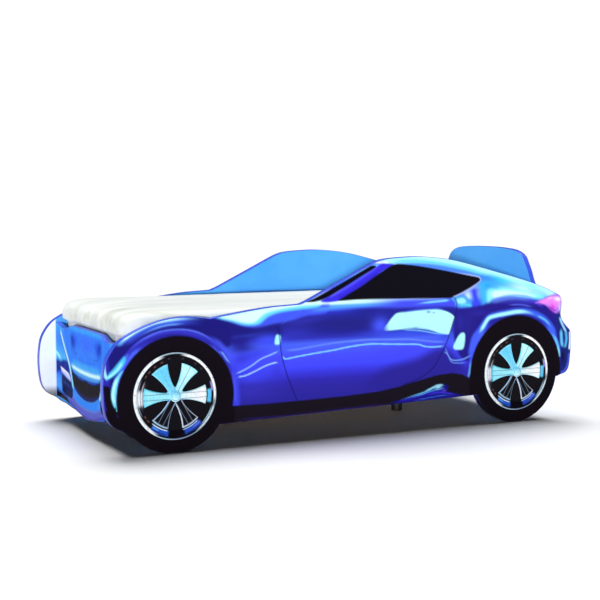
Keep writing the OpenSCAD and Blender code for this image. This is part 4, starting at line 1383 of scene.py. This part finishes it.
def board_pieces():
    """The boards, their bands and the long timbers, with eased edges."""
    for side in ("left", "right"):
        eased_part(f"{side}_side_panel", "blue_board", BOARD_EDGE)
        eased_part(f"{side}_edge_band", "edge_banding", BAND_EDGE)
        eased_part(f"{side}_rail", "pine", TIMBER_EDGE)
    eased_part("front_board", "blue_board", BOARD_EDGE)
    eased_part("front_edge_bands", "edge_banding", BAND_EDGE)
    eased_part("headboard", "blue_board", BOARD_EDGE)
    eased_part("headboard_edge_band", "edge_banding", BAND_EDGE)
    eased_part("centre_beam", "pine", TIMBER_EDGE)


def slat_pieces():
    """The slats, with rounder edges than the other timber."""
    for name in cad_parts:
        if name.startswith("slat_") and name != "slat_screws":
            eased_part(name, "pine", SLAT_EDGE, look="pine_across")


def plain_finish(node, look):
    """A small CAD part that shows as it is, in its real material."""
    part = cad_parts[node]
    part.data.materials.clear()
    part.data.materials.append(materials[look])


def fitting_pieces():
    """Legs, glides and hangers with eased edges, and the small fittings as they are."""
    eased_part("centre_legs", "black_plastic", LEG_EDGE)
    eased_part("tyre_glides", "black_plastic", TYRE_GLIDE_EDGE)
    eased_part("leg_glides", "black_plastic", LEG_GLIDE_EDGE)
    for node in ("front_beam_hanger", "rear_beam_hanger"):
        eased_part(node, "zinc_steel", HANGER_EDGE)
    for node in ("cam_locks", "cam_bolts", "leg_bolts", "hanger_screws"):
        plain_finish(node, "zinc_steel")
    for node in ("rail_screws", "slat_screws", "wheel_cover_screws"):
        plain_finish(node, "brass_plated_steel")
    plain_finish("dowels", "pine_across")


# ---------------------------------------------------------------- floor, light and camera

FLOOR_SIZE = 30
CAMERA_PLACE = (-1.865, -3.748, 0.7245)
CAMERA_YAW, CAMERA_DOWN = 26.18, 4.29
LENS, SENSOR = 73.07, 36
ROOM_LIGHT, ROOM_SEEN = 0.015, 1.05
OVERHEAD = {"azimuth": 165, "elevation": 71, "spread": 48, "strength": 3.8}
LOW_FRONT = {"azimuth": -32, "elevation": 0.5, "spread": 3, "strength": 2.8}


def stage_floor():
    """A pale floor that runs on out of sight."""
    bm = bmesh.new()
    bmesh.ops.create_grid(bm, x_segments=2, y_segments=2, size=FLOOR_SIZE)
    mesh = bpy.data.meshes.new("floor")
    bm.to_mesh(mesh)
    bm.free()
    floor = bpy.data.objects.new("floor", mesh)
    bpy.context.scene.collection.objects.link(floor)
    f = Finish("floor", "f4f4f4", roughness=0.9, specular=0.0)
    f.link(f.ramp(f.noise(0.5, detail=2), (0.3, "f3f3f3"), (0.7, "f6f6f6")), "Base Color")
    mesh.materials.append(f.material)


def soft_sun(name, azimuth, elevation, spread, strength):
    """A wide, distant light from this compass direction (0 is from -y, 180 from +y), in degrees."""
    light = bpy.data.lights.new(name, "SUN")
    light.angle, light.energy = math.radians(spread), strength
    lamp = bpy.data.objects.new(name, light)
    lamp.rotation_euler = (math.radians(90 - elevation), 0, math.radians(azimuth))
    bpy.context.scene.collection.objects.link(lamp)


def studio():
    """An even pale room, one wide light over the back of the bed and one low in front of it."""
    world = bpy.data.worlds.new("studio")
    world.use_nodes = True
    tree = world.node_tree
    sky = tree.nodes["Background"]
    sky.inputs["Color"].default_value = (1, 1, 1, 1)
    seen = tree.nodes.new("ShaderNodeLightPath").outputs["Is Camera Ray"]
    level = tree.nodes.new("ShaderNodeMapRange")
    tree.links.new(seen, level.inputs[0])
    level.inputs[3].default_value, level.inputs[4].default_value = ROOM_LIGHT, ROOM_SEEN
    tree.links.new(level.outputs[0], sky.inputs["Strength"])
    bpy.context.scene.world = world
    soft_sun("overhead", **OVERHEAD)
    soft_sun("low_front", **LOW_FRONT)
    view = bpy.context.scene.view_settings
    view.view_transform, view.look = "Standard", "None"


def camera():
    """A long lens to the left of the bed, a little ahead of its nose."""
    view = bpy.data.cameras.new("camera")
    view.lens, view.sensor_width = LENS, SENSOR
    eye = bpy.data.objects.new("camera", view)
    eye.location = CAMERA_PLACE
    eye.rotation_euler = (math.radians(90 - CAMERA_DOWN), 0, math.radians(-CAMERA_YAW))
    bpy.context.scene.collection.objects.link(eye)
    bpy.context.scene.camera = eye


camera()
studio()
stage_floor()
side_film_pieces()
front_film_piece()
wheel_pieces()
sheet_piece(mattress_piece())
board_pieces()
slat_pieces()
fitting_pieces()
